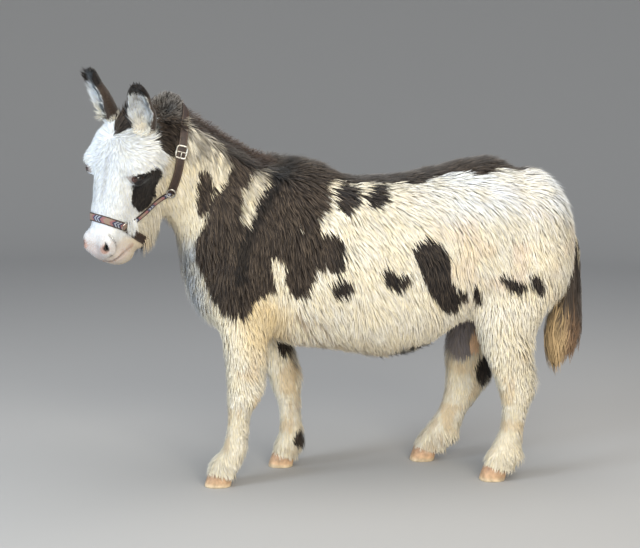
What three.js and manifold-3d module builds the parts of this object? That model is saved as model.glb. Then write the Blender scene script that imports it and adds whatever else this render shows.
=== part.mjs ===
// A miniature donkey standing with its head turned to its left, wearing a leather halter.
// Units are millimetres, +Z is up. The donkey faces -X and its left side is towards -Y.
// The outline is that of the winter coat, out to the tips of the hair.
//
// The body is a distance field: each part is a loft (an oval section carried along an axis),
// the lofts are blended with a smooth union, and the blended surface is meshed and then parted
// into named solids by thin flat cuts.
import * as THREE from 'three';
import { mergeVertices } from 'three/addons/utils/BufferGeometryUtils.js';
import Module from 'manifold-3d';

const wasm = await Module();
wasm.setup();

// ---------------------------------------------------------------- driving dimensions
const GAP = 0.3; // clear space left between two neighbouring solids
const HUGE = 4000; // side of a block that cuts everything beyond a plane

const HEAD_TURN = 50; // degrees from straight ahead towards the donkey's left
const HEAD_ROLL = 9; // degrees, left side down
const HEAD_PITCH = 10; // degrees that the muzzle pokes forward of an upright face
const BROW = [-592, -195, 880]; // middle of the face between the eyes

const NECK_ROOT = [-150, 0, 690];
const NECK_END = [-470, -84, 968];
const CROWN_TUFT = [-436, -92, 1030]; // upright mane behind the ears
const CROWN_RADIUS = 45;

const EYE_RADIUS = 17;
const EYE_DEPTH = 26; // from the coat's outline to the centre of the eyeball
const EYE_FROM = [40, -62, 4]; // a point of the head behind the eye
const EYE_LOOK = [0.86, 0.5]; // where the eye looks, aside and ahead
const LID_OPENING = 13; // radius of the opening between the lids
const LID_REACH = 1.5; // how much longer than wide that opening is cut
const STRAP_THICK = 3.5;
const STRAP_SINK = 0.6; // how far a strap presses into the coat
const ROOM_ABOVE = 9; // hair parted over a strap, ring or buckle
const RING_RADIUS = 14;
const RING_WIRE = 2.2;
const RING_SIDES = 12;
const BUCKLE_SIZE = [36, 32, 3.2]; // along the strap, across it and thick
const BUCKLE_BAR = 4.5; // width of the buckle's frame
const BUCKLE_ROUND = 6; // radius of its corners
const BUCKLE_LIFT = 0.2;
const RING_SEAT = RING_RADIUS + RING_WIRE + GAP; // straps stop at this distance from a ring's centre

const KNEE = 255; // height of the cut across the fore leg
const HOCK = 300; // height of the cut across the hind leg
const HOOF_TOE = 45; // height of the hoof wall in front
const HOOF_HEEL = 24; // and at the heel
// Rings up the hoof: height, how far it leans back there, and half width.
const HOOF_RINGS = [[0, 0, 31], [16, 4, 30.5], [34, 9, 29], [60, 17, 26]];
const HOOF_TAPER = 0.06; // how much shorter, front to back, for each millimetre up
const HOOF_SEGMENTS = 16;
const HOOF_POWER = 2.4; // 2 is an oval, more is squarer

// Sides of the mesh's cells for each part, coarser where the body is plainer.
const TRUNK_CELL = [76, 54, 54];
const NECK_CELL = [46, 44, 46];
const HEAD_CELL = [28, 28, 30];
const TAIL_CELL = [24, 24, 40];
const LEG_CELL = { fore: [25, 24, 42], hind: [29, 26, 44] };

// ---------------------------------------------------------------- colours and finishes
const FINISH = {
  coat: { color: 0xe6ddcb, roughness: 0.95, metalness: 0 },
  darkCoat: { color: 0x3f3633, roughness: 0.95, metalness: 0 },
  tailHair: { color: 0x7d6a55, roughness: 0.9, metalness: 0 },
  hoofHorn: { color: 0xd0a27e, roughness: 0.55, metalness: 0 },
  eye: { color: 0x1a120e, roughness: 0.08, metalness: 0 },
  leather: { color: 0x4a2d1f, roughness: 0.6, metalness: 0 },
  pattern: { color: 0x9a6f6a, roughness: 0.7, metalness: 0 },
  metal: { color: 0xb9b4a8, roughness: 0.3, metalness: 1 },
};

// ---------------------------------------------------------------- small vector helpers
const vec = (p) => new THREE.Vector3(...p);
const X_AXIS = new THREE.Vector3(1, 0, 0);
const Z_AXIS = new THREE.Vector3(0, 0, 1);
const radians = THREE.MathUtils.degToRad;

// The head has a frame of its own: side (towards its left), front (out of the face), up (to the poll).
function headFrame() {
  const turn = radians(HEAD_TURN);
  const face = new THREE.Vector3(-Math.cos(turn), -Math.sin(turn), 0);
  const left = new THREE.Vector3(Math.sin(turn), -Math.cos(turn), 0);
  const rolled = left.multiplyScalar(Math.sin(radians(HEAD_ROLL)));
  rolled.addScaledVector(Z_AXIS, Math.cos(radians(HEAD_ROLL)));
  const pitch = radians(HEAD_PITCH);
  const up = rolled.clone().multiplyScalar(Math.cos(pitch)).addScaledVector(face, -Math.sin(pitch));
  const front = face.clone().multiplyScalar(Math.cos(pitch)).addScaledVector(rolled, Math.sin(pitch));
  const side = new THREE.Vector3().crossVectors(up, front);
  return { side, front, up };
}

const HEAD = headFrame();

// A point of the head from its distance to the left, forward of the brow and down the face.
function onHead(side, front, down) {
  const p = vec(BROW).addScaledVector(HEAD.side, side);
  return p.addScaledVector(HEAD.front, front).addScaledVector(HEAD.up, -down);
}

// ---------------------------------------------------------------- distance fields
// Smooth union of two distances, rounded over a width k.
function blend(a, b, k) {
  const h = Math.max(k - Math.abs(a - b), 0) / k;
  return Math.min(a, b) - 0.25 * k * h * h;
}

const BLEND = { neck: 90, leg: 60, head: 30, jaw: 40, brow: 30, nostril: 22, chin: 24, crown: 40 };
const SAMPLES = 96;

// Cubic curves through rows of [station, value, value, ...], resampled evenly, flat at both ends.
function resample(rows) {
  const s = rows.map((row) => row[0]);
  const last = rows.length - 1;
  const width = rows[0].length - 1;
  const slope = rows.map(() => new Array(width).fill(0));
  for (let i = 1; i < last; i++) {
    const before = s[i] - s[i - 1];
    const after = s[i + 1] - s[i];
    for (let c = 0; c < width; c++) {
      const into = (rows[i][c + 1] - rows[i - 1][c + 1]) / before;
      const out = (rows[i + 1][c + 1] - rows[i][c + 1]) / after;
      slope[i][c] = (into * after + out * before) / (before + after);
    }
  }
  const table = new Float64Array(SAMPLES * width);
  let i = 0;
  for (let n = 0; n < SAMPLES; n++) {
    const x = s[0] + ((s[last] - s[0]) * n) / (SAMPLES - 1);
    while (i < last - 1 && x > s[i + 1]) i += 1;
    const h = s[i + 1] - s[i];
    const u = (x - s[i]) / h;
    const from = 2 * u ** 3 - 3 * u ** 2 + 1;
    for (let c = 0; c < width; c++) {
      const ease = (u ** 3 - 2 * u ** 2 + u) * h * slope[i][c] + (u ** 3 - u ** 2) * h * slope[i + 1][c];
      table[n * width + c] = from * rows[i][c + 1] + (1 - from) * rows[i + 1][c + 1] + ease;
    }
  }
  return { start: s[0], end: s[last], width, table };
}

// Distance to an oval body carried along an axis. Each row is
// [station, front centre, side centre, front radius, back radius, side radius];
// caps are the lengths of the rounded ends, power is 2 for an ellipse and more for a boxier section.
function loft({ origin, along, front, rows, caps, power }) {
  const a = along.clone().normalize();
  const f = front.clone().addScaledVector(a, -front.dot(a)).normalize();
  const l = new THREE.Vector3().crossVectors(a, f);
  const { start, end, width, table } = resample(rows);
  const step = (SAMPLES - 1) / (end - start);
  const v = new Float64Array(width);
  return (x, y, z) => {
    const px = x - origin.x;
    const py = y - origin.y;
    const pz = z - origin.z;
    const s = px * a.x + py * a.y + pz * a.z;
    const t = Math.min(Math.max(s, start), end);
    const at = (t - start) * step;
    const i = Math.min(Math.floor(at), SAMPLES - 2);
    const u = at - i;
    for (let c = 0; c < width; c++) {
      v[c] = table[i * width + c] * (1 - u) + table[(i + 1) * width + c] * u;
    }
    const df = px * f.x + py * f.y + pz * f.z - v[0];
    const dl = px * l.x + py * l.y + pz * l.z - v[1];
    const rf = df > 0 ? v[2] : v[3];
    const rl = v[4];
    const rc = s > t ? caps[1] : caps[0];
    const fa = Math.abs(df) / rf;
    const la = Math.abs(dl) / rl;
    const ca = Math.abs(s - t) / rc;
    const sum = fa ** power + la ** power + ca ** power + 1e-12;
    const level = sum ** (1 / power);
    const q = power - 1;
    const grade = Math.hypot(fa ** q / rf, la ** q / rl, ca ** q / rc) * level ** (1 - power) + 1e-9;
    return (level - 1) / grade;
  };
}

// Distance to an ellipsoid with its axes on the head's own.
function headLump(centre, radii) {
  const c = onHead(...centre);
  return (x, y, z) => {
    const d = new THREE.Vector3(x - c.x, y - c.y, z - c.z);
    const l = d.dot(HEAD.side) / radii[0];
    const f = d.dot(HEAD.front) / radii[1];
    const u = d.dot(HEAD.up) / radii[2];
    const level = Math.hypot(l, f, u) + 1e-9;
    const grade = Math.hypot(l / radii[0], f / radii[1], u / radii[2]) + 1e-9;
    return (level * (level - 1)) / grade;
  };
}

// ---------------------------------------------------------------- the parts of the body
// Rows along the back: x, height of the middle, up, down and half width.
const trunkField = loft({
  origin: vec([0, 0, 0]),
  along: X_AXIS,
  front: Z_AXIS,
  caps: [172, 172],
  power: 2.15,
  rows: [
    [-215, 645, 205, 232, 165],
    [-100, 632, 250, 250, 188],
    [30, 617, 250, 252, 204],
    [180, 610, 254, 260, 207],
    [300, 626, 258, 246, 206],
    [400, 655, 252, 212, 200],
    [475, 668, 248, 192, 192],
    [560, 662, 228, 180, 176],
  ].map(([x, middle, up, down, half]) => [x, middle, 0, up, down, half]),
});

const neckAxis = vec(NECK_END).sub(vec(NECK_ROOT));
const neckLength = neckAxis.length();
// Rows up the neck: station, side shift, crest, throat and half width.
const neckLoft = loft({
  origin: vec(NECK_ROOT),
  along: neckAxis,
  front: vec([0.66, 0, 0.75]),
  caps: [80, 40],
  power: 2,
  rows: [
    [0, -10, 225, 185, 150],
    [110, -6, 182, 168, 128],
    [210, 0, 148, 156, 112],
    [300, 2, 130, 150, 102],
    [370, 0, 120, 142, 94],
    [neckLength, 0, 106, 122, 84],
  ].map(([s, shift, crest, throat, half]) => [s, 0, shift, crest, throat, half]),
});

function sphereField(centre, radius) {
  return (x, y, z) => Math.hypot(x - centre[0], y - centre[1], z - centre[2]) - radius;
}

const crownField = sphereField(CROWN_TUFT, CROWN_RADIUS);
const neckField = (x, y, z) => blend(neckLoft(x, y, z), crownField(x, y, z), BLEND.crown);

// Rows down a leg: height, front x, back x, half width, and a sideways shift of the middle.
function legField(y, rows) {
  return loft({
    origin: vec([0, 0, 0]),
    along: Z_AXIS,
    front: vec([-1, 0, 0]),
    caps: [20, 110],
    power: 2.2,
    rows: rows.map(([z, front, back, half, shift = 0]) => {
      const middle = (front + back) / 2;
      const reach = (back - front) / 2;
      return [z, -middle, -(y + shift), reach, reach, half];
    }),
  });
}

const LEGS = {
  fore_left: {
    y: -102,
    sole: [-330, -256],
    rows: [
      [42, -322, -240, 34],
      [65, -315, -228, 38],
      [100, -286, -214, 33],
      [146, -272, -209, 31],
      [210, -268, -200, 35],
      [250, -270, -180, 43],
      [290, -271, -168, 46],
      [343, -275, -162, 51],
      [440, -292, -150, 62, 4],
      [560, -300, -110, 72, 12],
    ],
  },
  fore_right: {
    y: 84,
    sole: [-134, -62],
    rows: [
      [42, -122, -44, 34],
      [65, -118, -32, 38],
      [100, -106, -32, 33],
      [150, -104, -40, 31],
      [190, -110, -42, 34],
      [230, -126, -44, 42],
      [275, -140, -45, 45],
      [330, -162, -60, 50],
      [430, -215, -80, 60, 6],
      [560, -270, -100, 70, 16],
    ],
  },
  hind_left: {
    y: -112,
    sole: [449, 523],
    rows: [
      [42, 462, 556, 34],
      [65, 464, 574, 38],
      [100, 484, 570, 34],
      [150, 504, 572, 32],
      [200, 508, 582, 36],
      [245, 500, 596, 42],
      [285, 486, 604, 46],
      [330, 468, 596, 50],
      [390, 440, 592, 62, 4],
      [470, 418, 626, 82, 12],
      [580, 430, 680, 96, 26],
    ],
  },
  hind_right: {
    y: 112,
    sole: [294, 368],
    rows: [
      [42, 306, 408, 34],
      [68, 316, 438, 38],
      [105, 344, 448, 34],
      [150, 376, 466, 33],
      [200, 392, 502, 38],
      [245, 396, 532, 43],
      [275, 396, 540, 46],
      [320, 392, 548, 52],
      [380, 394, 568, 64, -4],
      [470, 410, 620, 82, -12],
      [580, 430, 680, 96, -26],
    ],
  },
};

const legFields = Object.values(LEGS).map((leg) => legField(leg.y, leg.rows));

// Rows down the tail: height, x of the middle, front and back radius, half width.
const tailField = loft({
  origin: vec([0, 0, 0]),
  along: vec([0, 0, -1]),
  front: vec([-1, 0, 0]),
  caps: [30, 108],
  power: 2,
  rows: [
    [735, 690, 26, 26, 24],
    [690, 722, 26, 26, 26],
    [620, 730, 28, 28, 27],
    [520, 728, 38, 36, 32],
    [420, 720, 50, 48, 38],
    [375, 718, 50, 48, 38],
  ].map(([z, x, front, back, half]) => [-z, -x, 0, front, back, half]),
});

// Rows down the head: distance below the brow, front profile, back profile, half width.
function headLoft(rows, caps, power) {
  return loft({
    origin: vec(BROW),
    along: HEAD.up.clone().negate(),
    front: HEAD.front,
    caps,
    power,
    rows: rows.map(([down, front, back, half]) => {
      const middle = (front + back) / 2;
      return [down, middle, 0, front - middle, middle - back, half];
    }),
  });
}

const faceField = headLoft(
  [
    [-150, -48, -140, 64],
    [-110, -16, -168, 90],
    [-60, 3, -185, 108],
    [-20, 2, -182, 101],
    [15, -3, -172, 82],
    [50, -8, -162, 70],
    [85, -12, -154, 62],
    [120, -14, -146, 56],
    [155, -22, -140, 48],
    [188, -26, -138, 45],
    [210, -34, -134, 42],
  ],
  [34, 30],
  2.35,
);

const jawField = headLoft(
  [
    [-60, -110, -205, 60],
    [0, -105, -226, 76],
    [50, -100, -230, 76],
    [100, -92, -232, 68],
    [145, -86, -228, 58],
    [180, -86, -206, 46],
    [205, -88, -172, 37],
  ],
  [45, 28],
  2.2,
);

const chinField = headLump([0, -124, 206], [32, 36, 28]);
const sides = [1, -1];
const brows = sides.map((s) => headLump([s * 74, -44, -14], [29, 34, 32]));
const nostrils = sides.map((s) => headLump([s * 30, -42, 192], [20, 20, 28]));

function headField(x, y, z) {
  let d = blend(faceField(x, y, z), jawField(x, y, z), BLEND.jaw);
  for (const brow of brows) d = blend(d, brow(x, y, z), BLEND.brow);
  for (const nostril of nostrils) d = blend(d, nostril(x, y, z), BLEND.nostril);
  return blend(d, chinField(x, y, z), BLEND.chin);
}

// The whole body without its ears and tail.
function bodyField(x, y, z) {
  let d = blend(trunkField(x, y, z), neckField(x, y, z), BLEND.neck);
  for (const leg of legFields) d = blend(d, leg(x, y, z), BLEND.leg);
  return blend(d, headField(x, y, z), BLEND.head);
}

// ---------------------------------------------------------------- ears
// A cupped leaf: a tapering oval loft, hollowed by a smaller one shifted towards its opening.
const EAR_RINGS = [11, 7]; // rings up the ear and up its hollow
const EAR_SEGMENTS = [14, 10];
const EARS = {
  left: { base: [60, -50, -116], tip: [80, 54, -228], facing: [0.35, 1, -0.3] },
  right: { base: [-60, -50, -132], tip: [-100, 76, -264], facing: [-0.4, 1, -0.3] },
};

function earLofts({ base, tip, facing }) {
  const root = onHead(...base);
  const axis = onHead(...tip).sub(root);
  const n = axis.length();
  const opening = onHead(...facing).sub(onHead(0, 0, 0));
  const shell = {
    rows: [
      [-30, 0, 0, 20, 24, 26],
      [0.1 * n, 0, 0, 24, 28, 35],
      [0.35 * n, 0, 0, 24, 27, 40],
      [0.58 * n, 0, 0, 20, 22, 34],
    ],
    caps: [20, 0.42 * n],
  };
  const bowl = {
    rows: [
      [0.22 * n, 22, 0, 24, 24, 22],
      [0.4 * n, 22, 0, 24, 26, 30],
      [0.56 * n, 20, 0, 20, 22, 26],
    ],
    caps: [22, 0.38 * n],
  };
  return [shell, bowl].map((form) => ({ origin: root, along: axis, front: opening, ...form }));
}

// A loft as rings of vertices, closed by a point at either end.
function loftSolid({ origin, along, front, rows, caps }, rings, segments) {
  const a = along.clone().normalize();
  const f = front.clone().addScaledVector(a, -front.dot(a)).normalize();
  const l = new THREE.Vector3().crossVectors(a, f);
  const { start, end, width, table } = resample(rows);
  const low = start - caps[0];
  const high = end + caps[1];
  const positions = [];
  const put = (s, forward, aside) => {
    const p = origin.clone().addScaledVector(a, s).addScaledVector(f, forward).addScaledVector(l, aside);
    positions.push(p.x, p.y, p.z);
  };
  for (let r = 0; r <= rings; r++) {
    const s = (low + high) / 2 - (Math.cos((Math.PI * r) / rings) * (high - low)) / 2;
    const t = Math.min(Math.max(s, start), end);
    const row = Math.round(((t - start) / (end - start)) * (SAMPLES - 1)) * width;
    const cap = (s - t) / (s > t ? caps[1] : caps[0]);
    const shrink = Math.sqrt(Math.max(1 - cap * cap, 0));
    const pole = r === 0 || r === rings;
    for (let i = 0; i < (pole ? 1 : segments); i++) {
      const turn = (2 * Math.PI * i) / segments;
      const forward = Math.cos(turn) * (Math.cos(turn) > 0 ? table[row + 2] : table[row + 3]);
      const aside = Math.sin(turn) * table[row + 4];
      if (pole) put(s, table[row], table[row + 1]);
      else put(s, table[row] + shrink * forward, table[row + 1] + shrink * aside);
    }
  }
  return solidFrom({ positions, index: ringIndex(rings, segments) });
}

// Triangles of a surface of rings between two end points.
function ringIndex(rings, segments) {
  const index = [];
  const at = (r, i) => (r === 0 ? 0 : 1 + (r - 1) * segments + (r === rings ? 0 : i % segments));
  for (let r = 0; r < rings; r++) {
    for (let i = 0; i < segments; i++) {
      if (r > 0) index.push(at(r, i), at(r, i + 1), at(r + 1, i + 1));
      if (r < rings - 1) index.push(at(r, i), at(r + 1, i + 1), at(r + 1, i));
    }
  }
  return index;
}

// ---------------------------------------------------------------- meshing a field
// Moves a point along the field's slope until it lies on the surface.
function settle(field, p, level = 0, rounds = 3) {
  const e = 0.5;
  for (let i = 0; i < rounds; i++) {
    const d = field(p.x, p.y, p.z) - level;
    const g = slopeOf(field, p, e);
    const steep = Math.max(g.lengthSq(), 0.05);
    p.addScaledVector(g, -d / steep);
  }
  return p;
}

function slopeOf(field, p, e = 0.5) {
  const gx = field(p.x + e, p.y, p.z) - field(p.x - e, p.y, p.z);
  const gy = field(p.x, p.y + e, p.z) - field(p.x, p.y - e, p.z);
  const gz = field(p.x, p.y, p.z + e) - field(p.x, p.y, p.z - e);
  return new THREE.Vector3(gx, gy, gz).multiplyScalar(0.5 / e);
}

// Surface nets: one vertex in each grid cell that the surface crosses, at the mean of its edge
// crossings, and one quad for each grid edge that it crosses.
function meshField(field, low, high, cell, level = 0) {
  const n = low.map((lo, i) => Math.ceil((high[i] - lo) / cell[i]) + 1);
  const stride = [1, n[0], n[0] * n[1]];
  const value = new Float64Array(n[0] * n[1] * n[2]);
  const at = (i, j, k) => i + j * stride[1] + k * stride[2];
  for (let k = 0; k < n[2]; k++) {
    for (let j = 0; j < n[1]; j++) {
      for (let i = 0; i < n[0]; i++) {
        const edge = i === 0 || j === 0 || k === 0 || i === n[0] - 1 || j === n[1] - 1 || k === n[2] - 1;
        const d = field(low[0] + i * cell[0], low[1] + j * cell[1], low[2] + k * cell[2]) - level;
        value[at(i, j, k)] = edge ? Math.max(d, 1) : d;
      }
    }
  }
  const vertexOf = new Int32Array(value.length).fill(-1);
  const positions = [];
  const corners = [0, 1, 2, 3, 4, 5, 6, 7].map((c) => [c & 1, (c >> 1) & 1, (c >> 2) & 1]);
  for (let k = 0; k < n[2] - 1; k++) {
    for (let j = 0; j < n[1] - 1; j++) {
      for (let i = 0; i < n[0] - 1; i++) {
        const p = cellVertex(value, at, corners, i, j, k);
        if (!p) continue;
        vertexOf[at(i, j, k)] = positions.length / 3;
        const world = new THREE.Vector3(...p.map((q, axis) => low[axis] + q * cell[axis]));
        const inside = [i, j, k].every((c, axis) => c > 0 && c < n[axis] - 2);
        if (inside) limitedSettle(field, world, level, cell);
        positions.push(world.x, world.y, world.z);
      }
    }
  }
  const index = [];
  for (let k = 0; k < n[2] - 1; k++) {
    for (let j = 0; j < n[1] - 1; j++) {
      for (let i = 0; i < n[0] - 1; i++) {
        for (let axis = 0; axis < 3; axis++) addQuad(value, vertexOf, stride, at(i, j, k), axis, index);
      }
    }
  }
  return { positions, index };
}

function cellVertex(value, at, corners, i, j, k) {
  const v = corners.map(([a, b, c]) => value[at(i + a, j + b, k + c)]);
  const sum = [0, 0, 0];
  let count = 0;
  for (let c = 0; c < 8; c++) {
    for (let axis = 0; axis < 3; axis++) {
      const d = c | (1 << axis);
      if (d === c || v[c] < 0 === v[d] < 0) continue;
      const t = v[c] / (v[c] - v[d]);
      for (let m = 0; m < 3; m++) sum[m] += corners[c][m] + (m === axis ? t : 0);
      count += 1;
    }
  }
  return count ? sum.map((s, axis) => s / count + [i, j, k][axis]) : null;
}

// Settles a vertex on the surface, but never further than its own cell lets it go.
function limitedSettle(field, p, level, cell) {
  const before = p.clone();
  settle(field, p, level, 2);
  const most = 0.3 * Math.min(...cell);
  const move = p.clone().sub(before);
  if (move.length() > most) p.copy(before).addScaledVector(move.normalize(), most);
}

function addQuad(value, vertexOf, stride, here, axis, index) {
  const next = here + stride[axis];
  if (value[here] < 0 === value[next] < 0) return;
  const u = stride[(axis + 1) % 3];
  const v = stride[(axis + 2) % 3];
  const quad = [here - u - v, here - v, here, here - u].map((c) => vertexOf[c]);
  if (value[here] >= 0) quad.reverse();
  index.push(quad[0], quad[1], quad[2], quad[0], quad[2], quad[3]);
}

// ---------------------------------------------------------------- solids
function solidFrom({ positions, index }) {
  const mesh = new wasm.Mesh({
    numProp: 3,
    vertProperties: new Float32Array(positions),
    triVerts: new Uint32Array(index),
  });
  return new wasm.Manifold(mesh);
}

function solidOf(geometry) {
  const bare = geometry.clone();
  bare.deleteAttribute('normal');
  bare.deleteAttribute('uv');
  const merged = mergeVertices(bare, 1e-4);
  return solidFrom({ positions: merged.attributes.position.array, index: merged.index.array });
}

function block(low, high) {
  const size = high.map((h, i) => h - low[i]);
  const geometry = new THREE.BoxGeometry(...size);
  geometry.translate(...low.map((lo, i) => lo + size[i] / 2));
  return solidOf(geometry);
}

// The half of space that the normal points to, as a block with one face on the plane.
function beyond(point, normal) {
  const geometry = new THREE.BoxGeometry(HUGE, HUGE, HUGE);
  geometry.translate(0, 0, HUGE / 2);
  const turn = new THREE.Quaternion().setFromUnitVectors(Z_AXIS, normal.clone().normalize());
  geometry.applyQuaternion(turn);
  geometry.translate(point.x, point.y, point.z);
  return solidOf(geometry);
}

// Two solids on either side of a plane, each held back from it by half a gap.
function beside(solid, point, normal) {
  const unit = normal.clone().normalize();
  const away = point.clone().addScaledVector(unit, -GAP / 2);
  return solid.subtract(beyond(away, unit));
}

// A solid made slightly larger about a point inside it, so that a gap is left beside whatever it cuts.
function swollen(solid, centre, by) {
  const c = centre.toArray();
  const home = solid.translate(c.map((v) => -v));
  return home.scale([by, by, by]).translate(c);
}

// Keeps the largest piece of a solid that a cut has left in several.
function mainPiece(solid) {
  const pieces = solid.decompose();
  return pieces.reduce((best, piece) => (piece.volume() > best.volume() ? piece : best));
}

// ---------------------------------------------------------------- halter
// A strap lies on the coat: points of the head are joined by a smooth curve, settled on the body's
// surface, and a flat section is carried along them.
function strapPath(points, steps) {
  const curve = new THREE.CatmullRomCurve3(points.map((p) => onHead(...p)), false, 'centripetal');
  const path = curve.getSpacedPoints(steps).map((p) => settle(bodyField, p, 0, 6));
  let outs = path.map((p) => slopeOf(bodyField, p, 4).normalize());
  for (let pass = 0; pass < 4; pass++) outs = eased(outs);
  const last = path.length - 1;
  return path.map((p, i) => {
    const tangent = path[Math.min(i + 1, last)].clone().sub(path[Math.max(i - 1, 0)]).normalize();
    const out = outs[i].clone().addScaledVector(tangent, -outs[i].dot(tangent)).normalize();
    const across = new THREE.Vector3().crossVectors(out, tangent);
    return { p, tangent, out, across };
  });
}

// Each direction turned towards the mean of its neighbours, so that a strap doesn't twist sharply.
function eased(directions) {
  const last = directions.length - 1;
  return directions.map((d, i) => {
    const around = directions[Math.max(i - 1, 0)].clone().add(directions[Math.min(i + 1, last)]);
    return around.addScaledVector(d, 2).normalize();
  });
}

function strapSolid(path, width, grow = 0, lift = 0) {
  const under = -STRAP_SINK - STRAP_THICK - grow;
  const over = -STRAP_SINK + grow + lift;
  const half = width / 2 + grow;
  const section = [[-half, under], [half, under], [half, over], [-half, over]];
  const positions = [];
  const index = [];
  const last = path.length - 1;
  path.forEach(({ p, tangent, out, across }, i) => {
    const end = i === 0 ? -grow : i === last ? grow : 0;
    for (const [aside, height] of section) {
      const corner = p.clone().addScaledVector(across, aside);
      corner.addScaledVector(out, height).addScaledVector(tangent, end);
      positions.push(corner.x, corner.y, corner.z);
    }
  });
  for (let i = 0; i < last; i++) {
    for (let c = 0; c < 4; c++) {
      const a = 4 * i + c;
      const b = 4 * i + ((c + 1) % 4);
      index.push(a, b, b + 4, a, b + 4, a + 4);
    }
  }
  const e = 4 * last;
  index.push(0, 2, 1, 0, 3, 2, e, e + 1, e + 2, e, e + 2, e + 3);
  return solidFrom({ positions, index });
}

// A frame that stands on the coat at a point: along a direction, across it and outwards.
function seatFrame(point, towards) {
  const p = settle(bodyField, point.clone(), 0, 6);
  const out = slopeOf(bodyField, p, 2).normalize();
  const along = towards.clone().addScaledVector(out, -towards.dot(out)).normalize();
  const across = new THREE.Vector3().crossVectors(out, along);
  return new THREE.Matrix4().makeBasis(along, across, out).setPosition(p);
}

function ringSolid(frame) {
  const geometry = new THREE.TorusGeometry(RING_RADIUS, RING_WIRE, 5, RING_SIDES);
  geometry.applyMatrix4(frame);
  return solidOf(geometry);
}

// The round recess that a ring lies in, which also trims the straps that meet there.
function recessSolid(frame, depth) {
  const geometry = new THREE.CylinderGeometry(RING_SEAT, RING_SEAT, depth + ROOM_ABOVE, RING_SIDES);
  geometry.rotateX(Math.PI / 2);
  geometry.translate(0, 0, (ROOM_ABOVE - depth) / 2);
  geometry.applyMatrix4(frame);
  return solidOf(geometry);
}

// The buckle's frame: a rectangle with rounded corners and a rectangular window.
function buckleSolid(frame) {
  const [length, width, thick] = BUCKLE_SIZE;
  const outline = roundedRectangle(length, width, BUCKLE_ROUND);
  const inner = [length - 2 * BUCKLE_BAR, width - 2 * BUCKLE_BAR, BUCKLE_ROUND / 2];
  outline.holes.push(roundedRectangle(...inner));
  const settings = { depth: thick, bevelEnabled: false, curveSegments: 2 };
  const geometry = new THREE.ExtrudeGeometry(outline, settings);
  geometry.translate(0, 0, BUCKLE_LIFT);
  geometry.applyMatrix4(frame);
  return solidOf(geometry);
}

// The room that the buckle takes in the coat and in the strap beneath it.
function buckleSeat(frame) {
  const [length, width] = BUCKLE_SIZE;
  const geometry = new THREE.BoxGeometry(length + 2 * GAP, width + 2 * GAP, ROOM_ABOVE);
  geometry.translate(0, 0, BUCKLE_LIFT - GAP + ROOM_ABOVE / 2);
  geometry.applyMatrix4(frame);
  return solidOf(geometry);
}

function roundedRectangle(length, width, radius) {
  const shape = new THREE.Shape();
  const quarter = Math.PI / 2;
  const corners = [[1, 1, 0], [-1, 1, quarter], [-1, -1, 2 * quarter], [1, -1, 3 * quarter]];
  for (const [a, b, start] of corners) {
    const x = a * (length / 2 - radius);
    const y = b * (width / 2 - radius);
    shape.absarc(x, y, radius, start, start + quarter, false);
  }
  shape.closePath();
  return shape;
}

const NOSE_RING = [52, -72, 137];
const CHEEK_RING = [104, -160, 24];
const BUCKLE = [121, -140, -88];
const mirrored = ([side, front, down]) => [-side, front, down];
const acrossHead = (half, middle) => [...half, middle, ...half.map(mirrored).reverse()];
const CHEEK_LINE = [NOSE_RING, [64, -108, 104], [78, -140, 62], CHEEK_RING];
const CROWN_LINE = [CHEEK_RING, [118, -150, -30], BUCKLE, [104, -150, -140], [60, -170, -200]];

// Each strap: the points of the head that it passes, its width, its pieces and its finish.
const STRAPS = {
  halter_noseband: {
    points: acrossHead([NOSE_RING, [46, -40, 134], [28, -18, 132]], [0, -14, 131]),
    width: 22,
    steps: 12,
    finish: 'pattern',
  },
  halter_chin_strap: {
    points: acrossHead([NOSE_RING, [56, -112, 152], [44, -190, 172]], [0, -215, 178]),
    width: 22,
    steps: 14,
    finish: 'leather',
  },
  halter_cheek_left: {
    points: CHEEK_LINE,
    width: 19,
    steps: 12,
    finish: 'pattern',
  },
  halter_cheek_right: {
    points: CHEEK_LINE.map(mirrored),
    width: 19,
    steps: 12,
    finish: 'pattern',
  },
  halter_crown: {
    points: acrossHead(CROWN_LINE, [10, -180, -225]),
    width: 22,
    steps: 30,
    finish: 'leather',
  },
};
const RINGS = {
  halter_ring_nose_left: NOSE_RING,
  halter_ring_nose_right: mirrored(NOSE_RING),
  halter_ring_cheek_left: CHEEK_RING,
  halter_ring_cheek_right: mirrored(CHEEK_RING),
};

// All of the halter's solids, and the room that they need in the coat.
function makeHalter() {
  const made = {};
  const room = [];
  const ringFrames = Object.entries(RINGS).map(([name, seat]) => {
    return [name, seatFrame(onHead(...seat), HEAD.up)];
  });
  const buckleFrame = seatFrame(onHead(...BUCKLE), HEAD.up);
  for (const [name, frame] of ringFrames) {
    made[name] = { solid: ringSolid(frame), finish: 'metal' };
    room.push(recessSolid(frame, RING_WIRE + GAP));
  }
  made.halter_buckle = { solid: buckleSolid(buckleFrame), finish: 'metal' };
  room.push(buckleSeat(buckleFrame));
  for (const [name, strap] of Object.entries(STRAPS)) {
    const path = strapPath(strap.points, strap.steps);
    let solid = strapSolid(path, strap.width);
    for (const [, frame] of ringFrames) solid = solid.subtract(recessSolid(frame, 3 * STRAP_THICK));
    for (const taken of room) solid = solid.subtract(taken);
    made[name] = { solid: mainPiece(solid), finish: strap.finish };
    room.push(strapSolid(path, strap.width, 2 * GAP, ROOM_ABOVE));
  }
  return { made, room: room.reduce((all, one) => all.add(one)) };
}

// ---------------------------------------------------------------- eyes
// Where a ray from inside the head leaves the coat's outline.
function reach(field, from, direction) {
  let far = 0;
  const p = new THREE.Vector3();
  for (let i = 0; i < 60; i++) {
    p.copy(from).addScaledVector(direction, far);
    far += Math.max(-field(p.x, p.y, p.z), 0.05);
  }
  return p;
}

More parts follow.
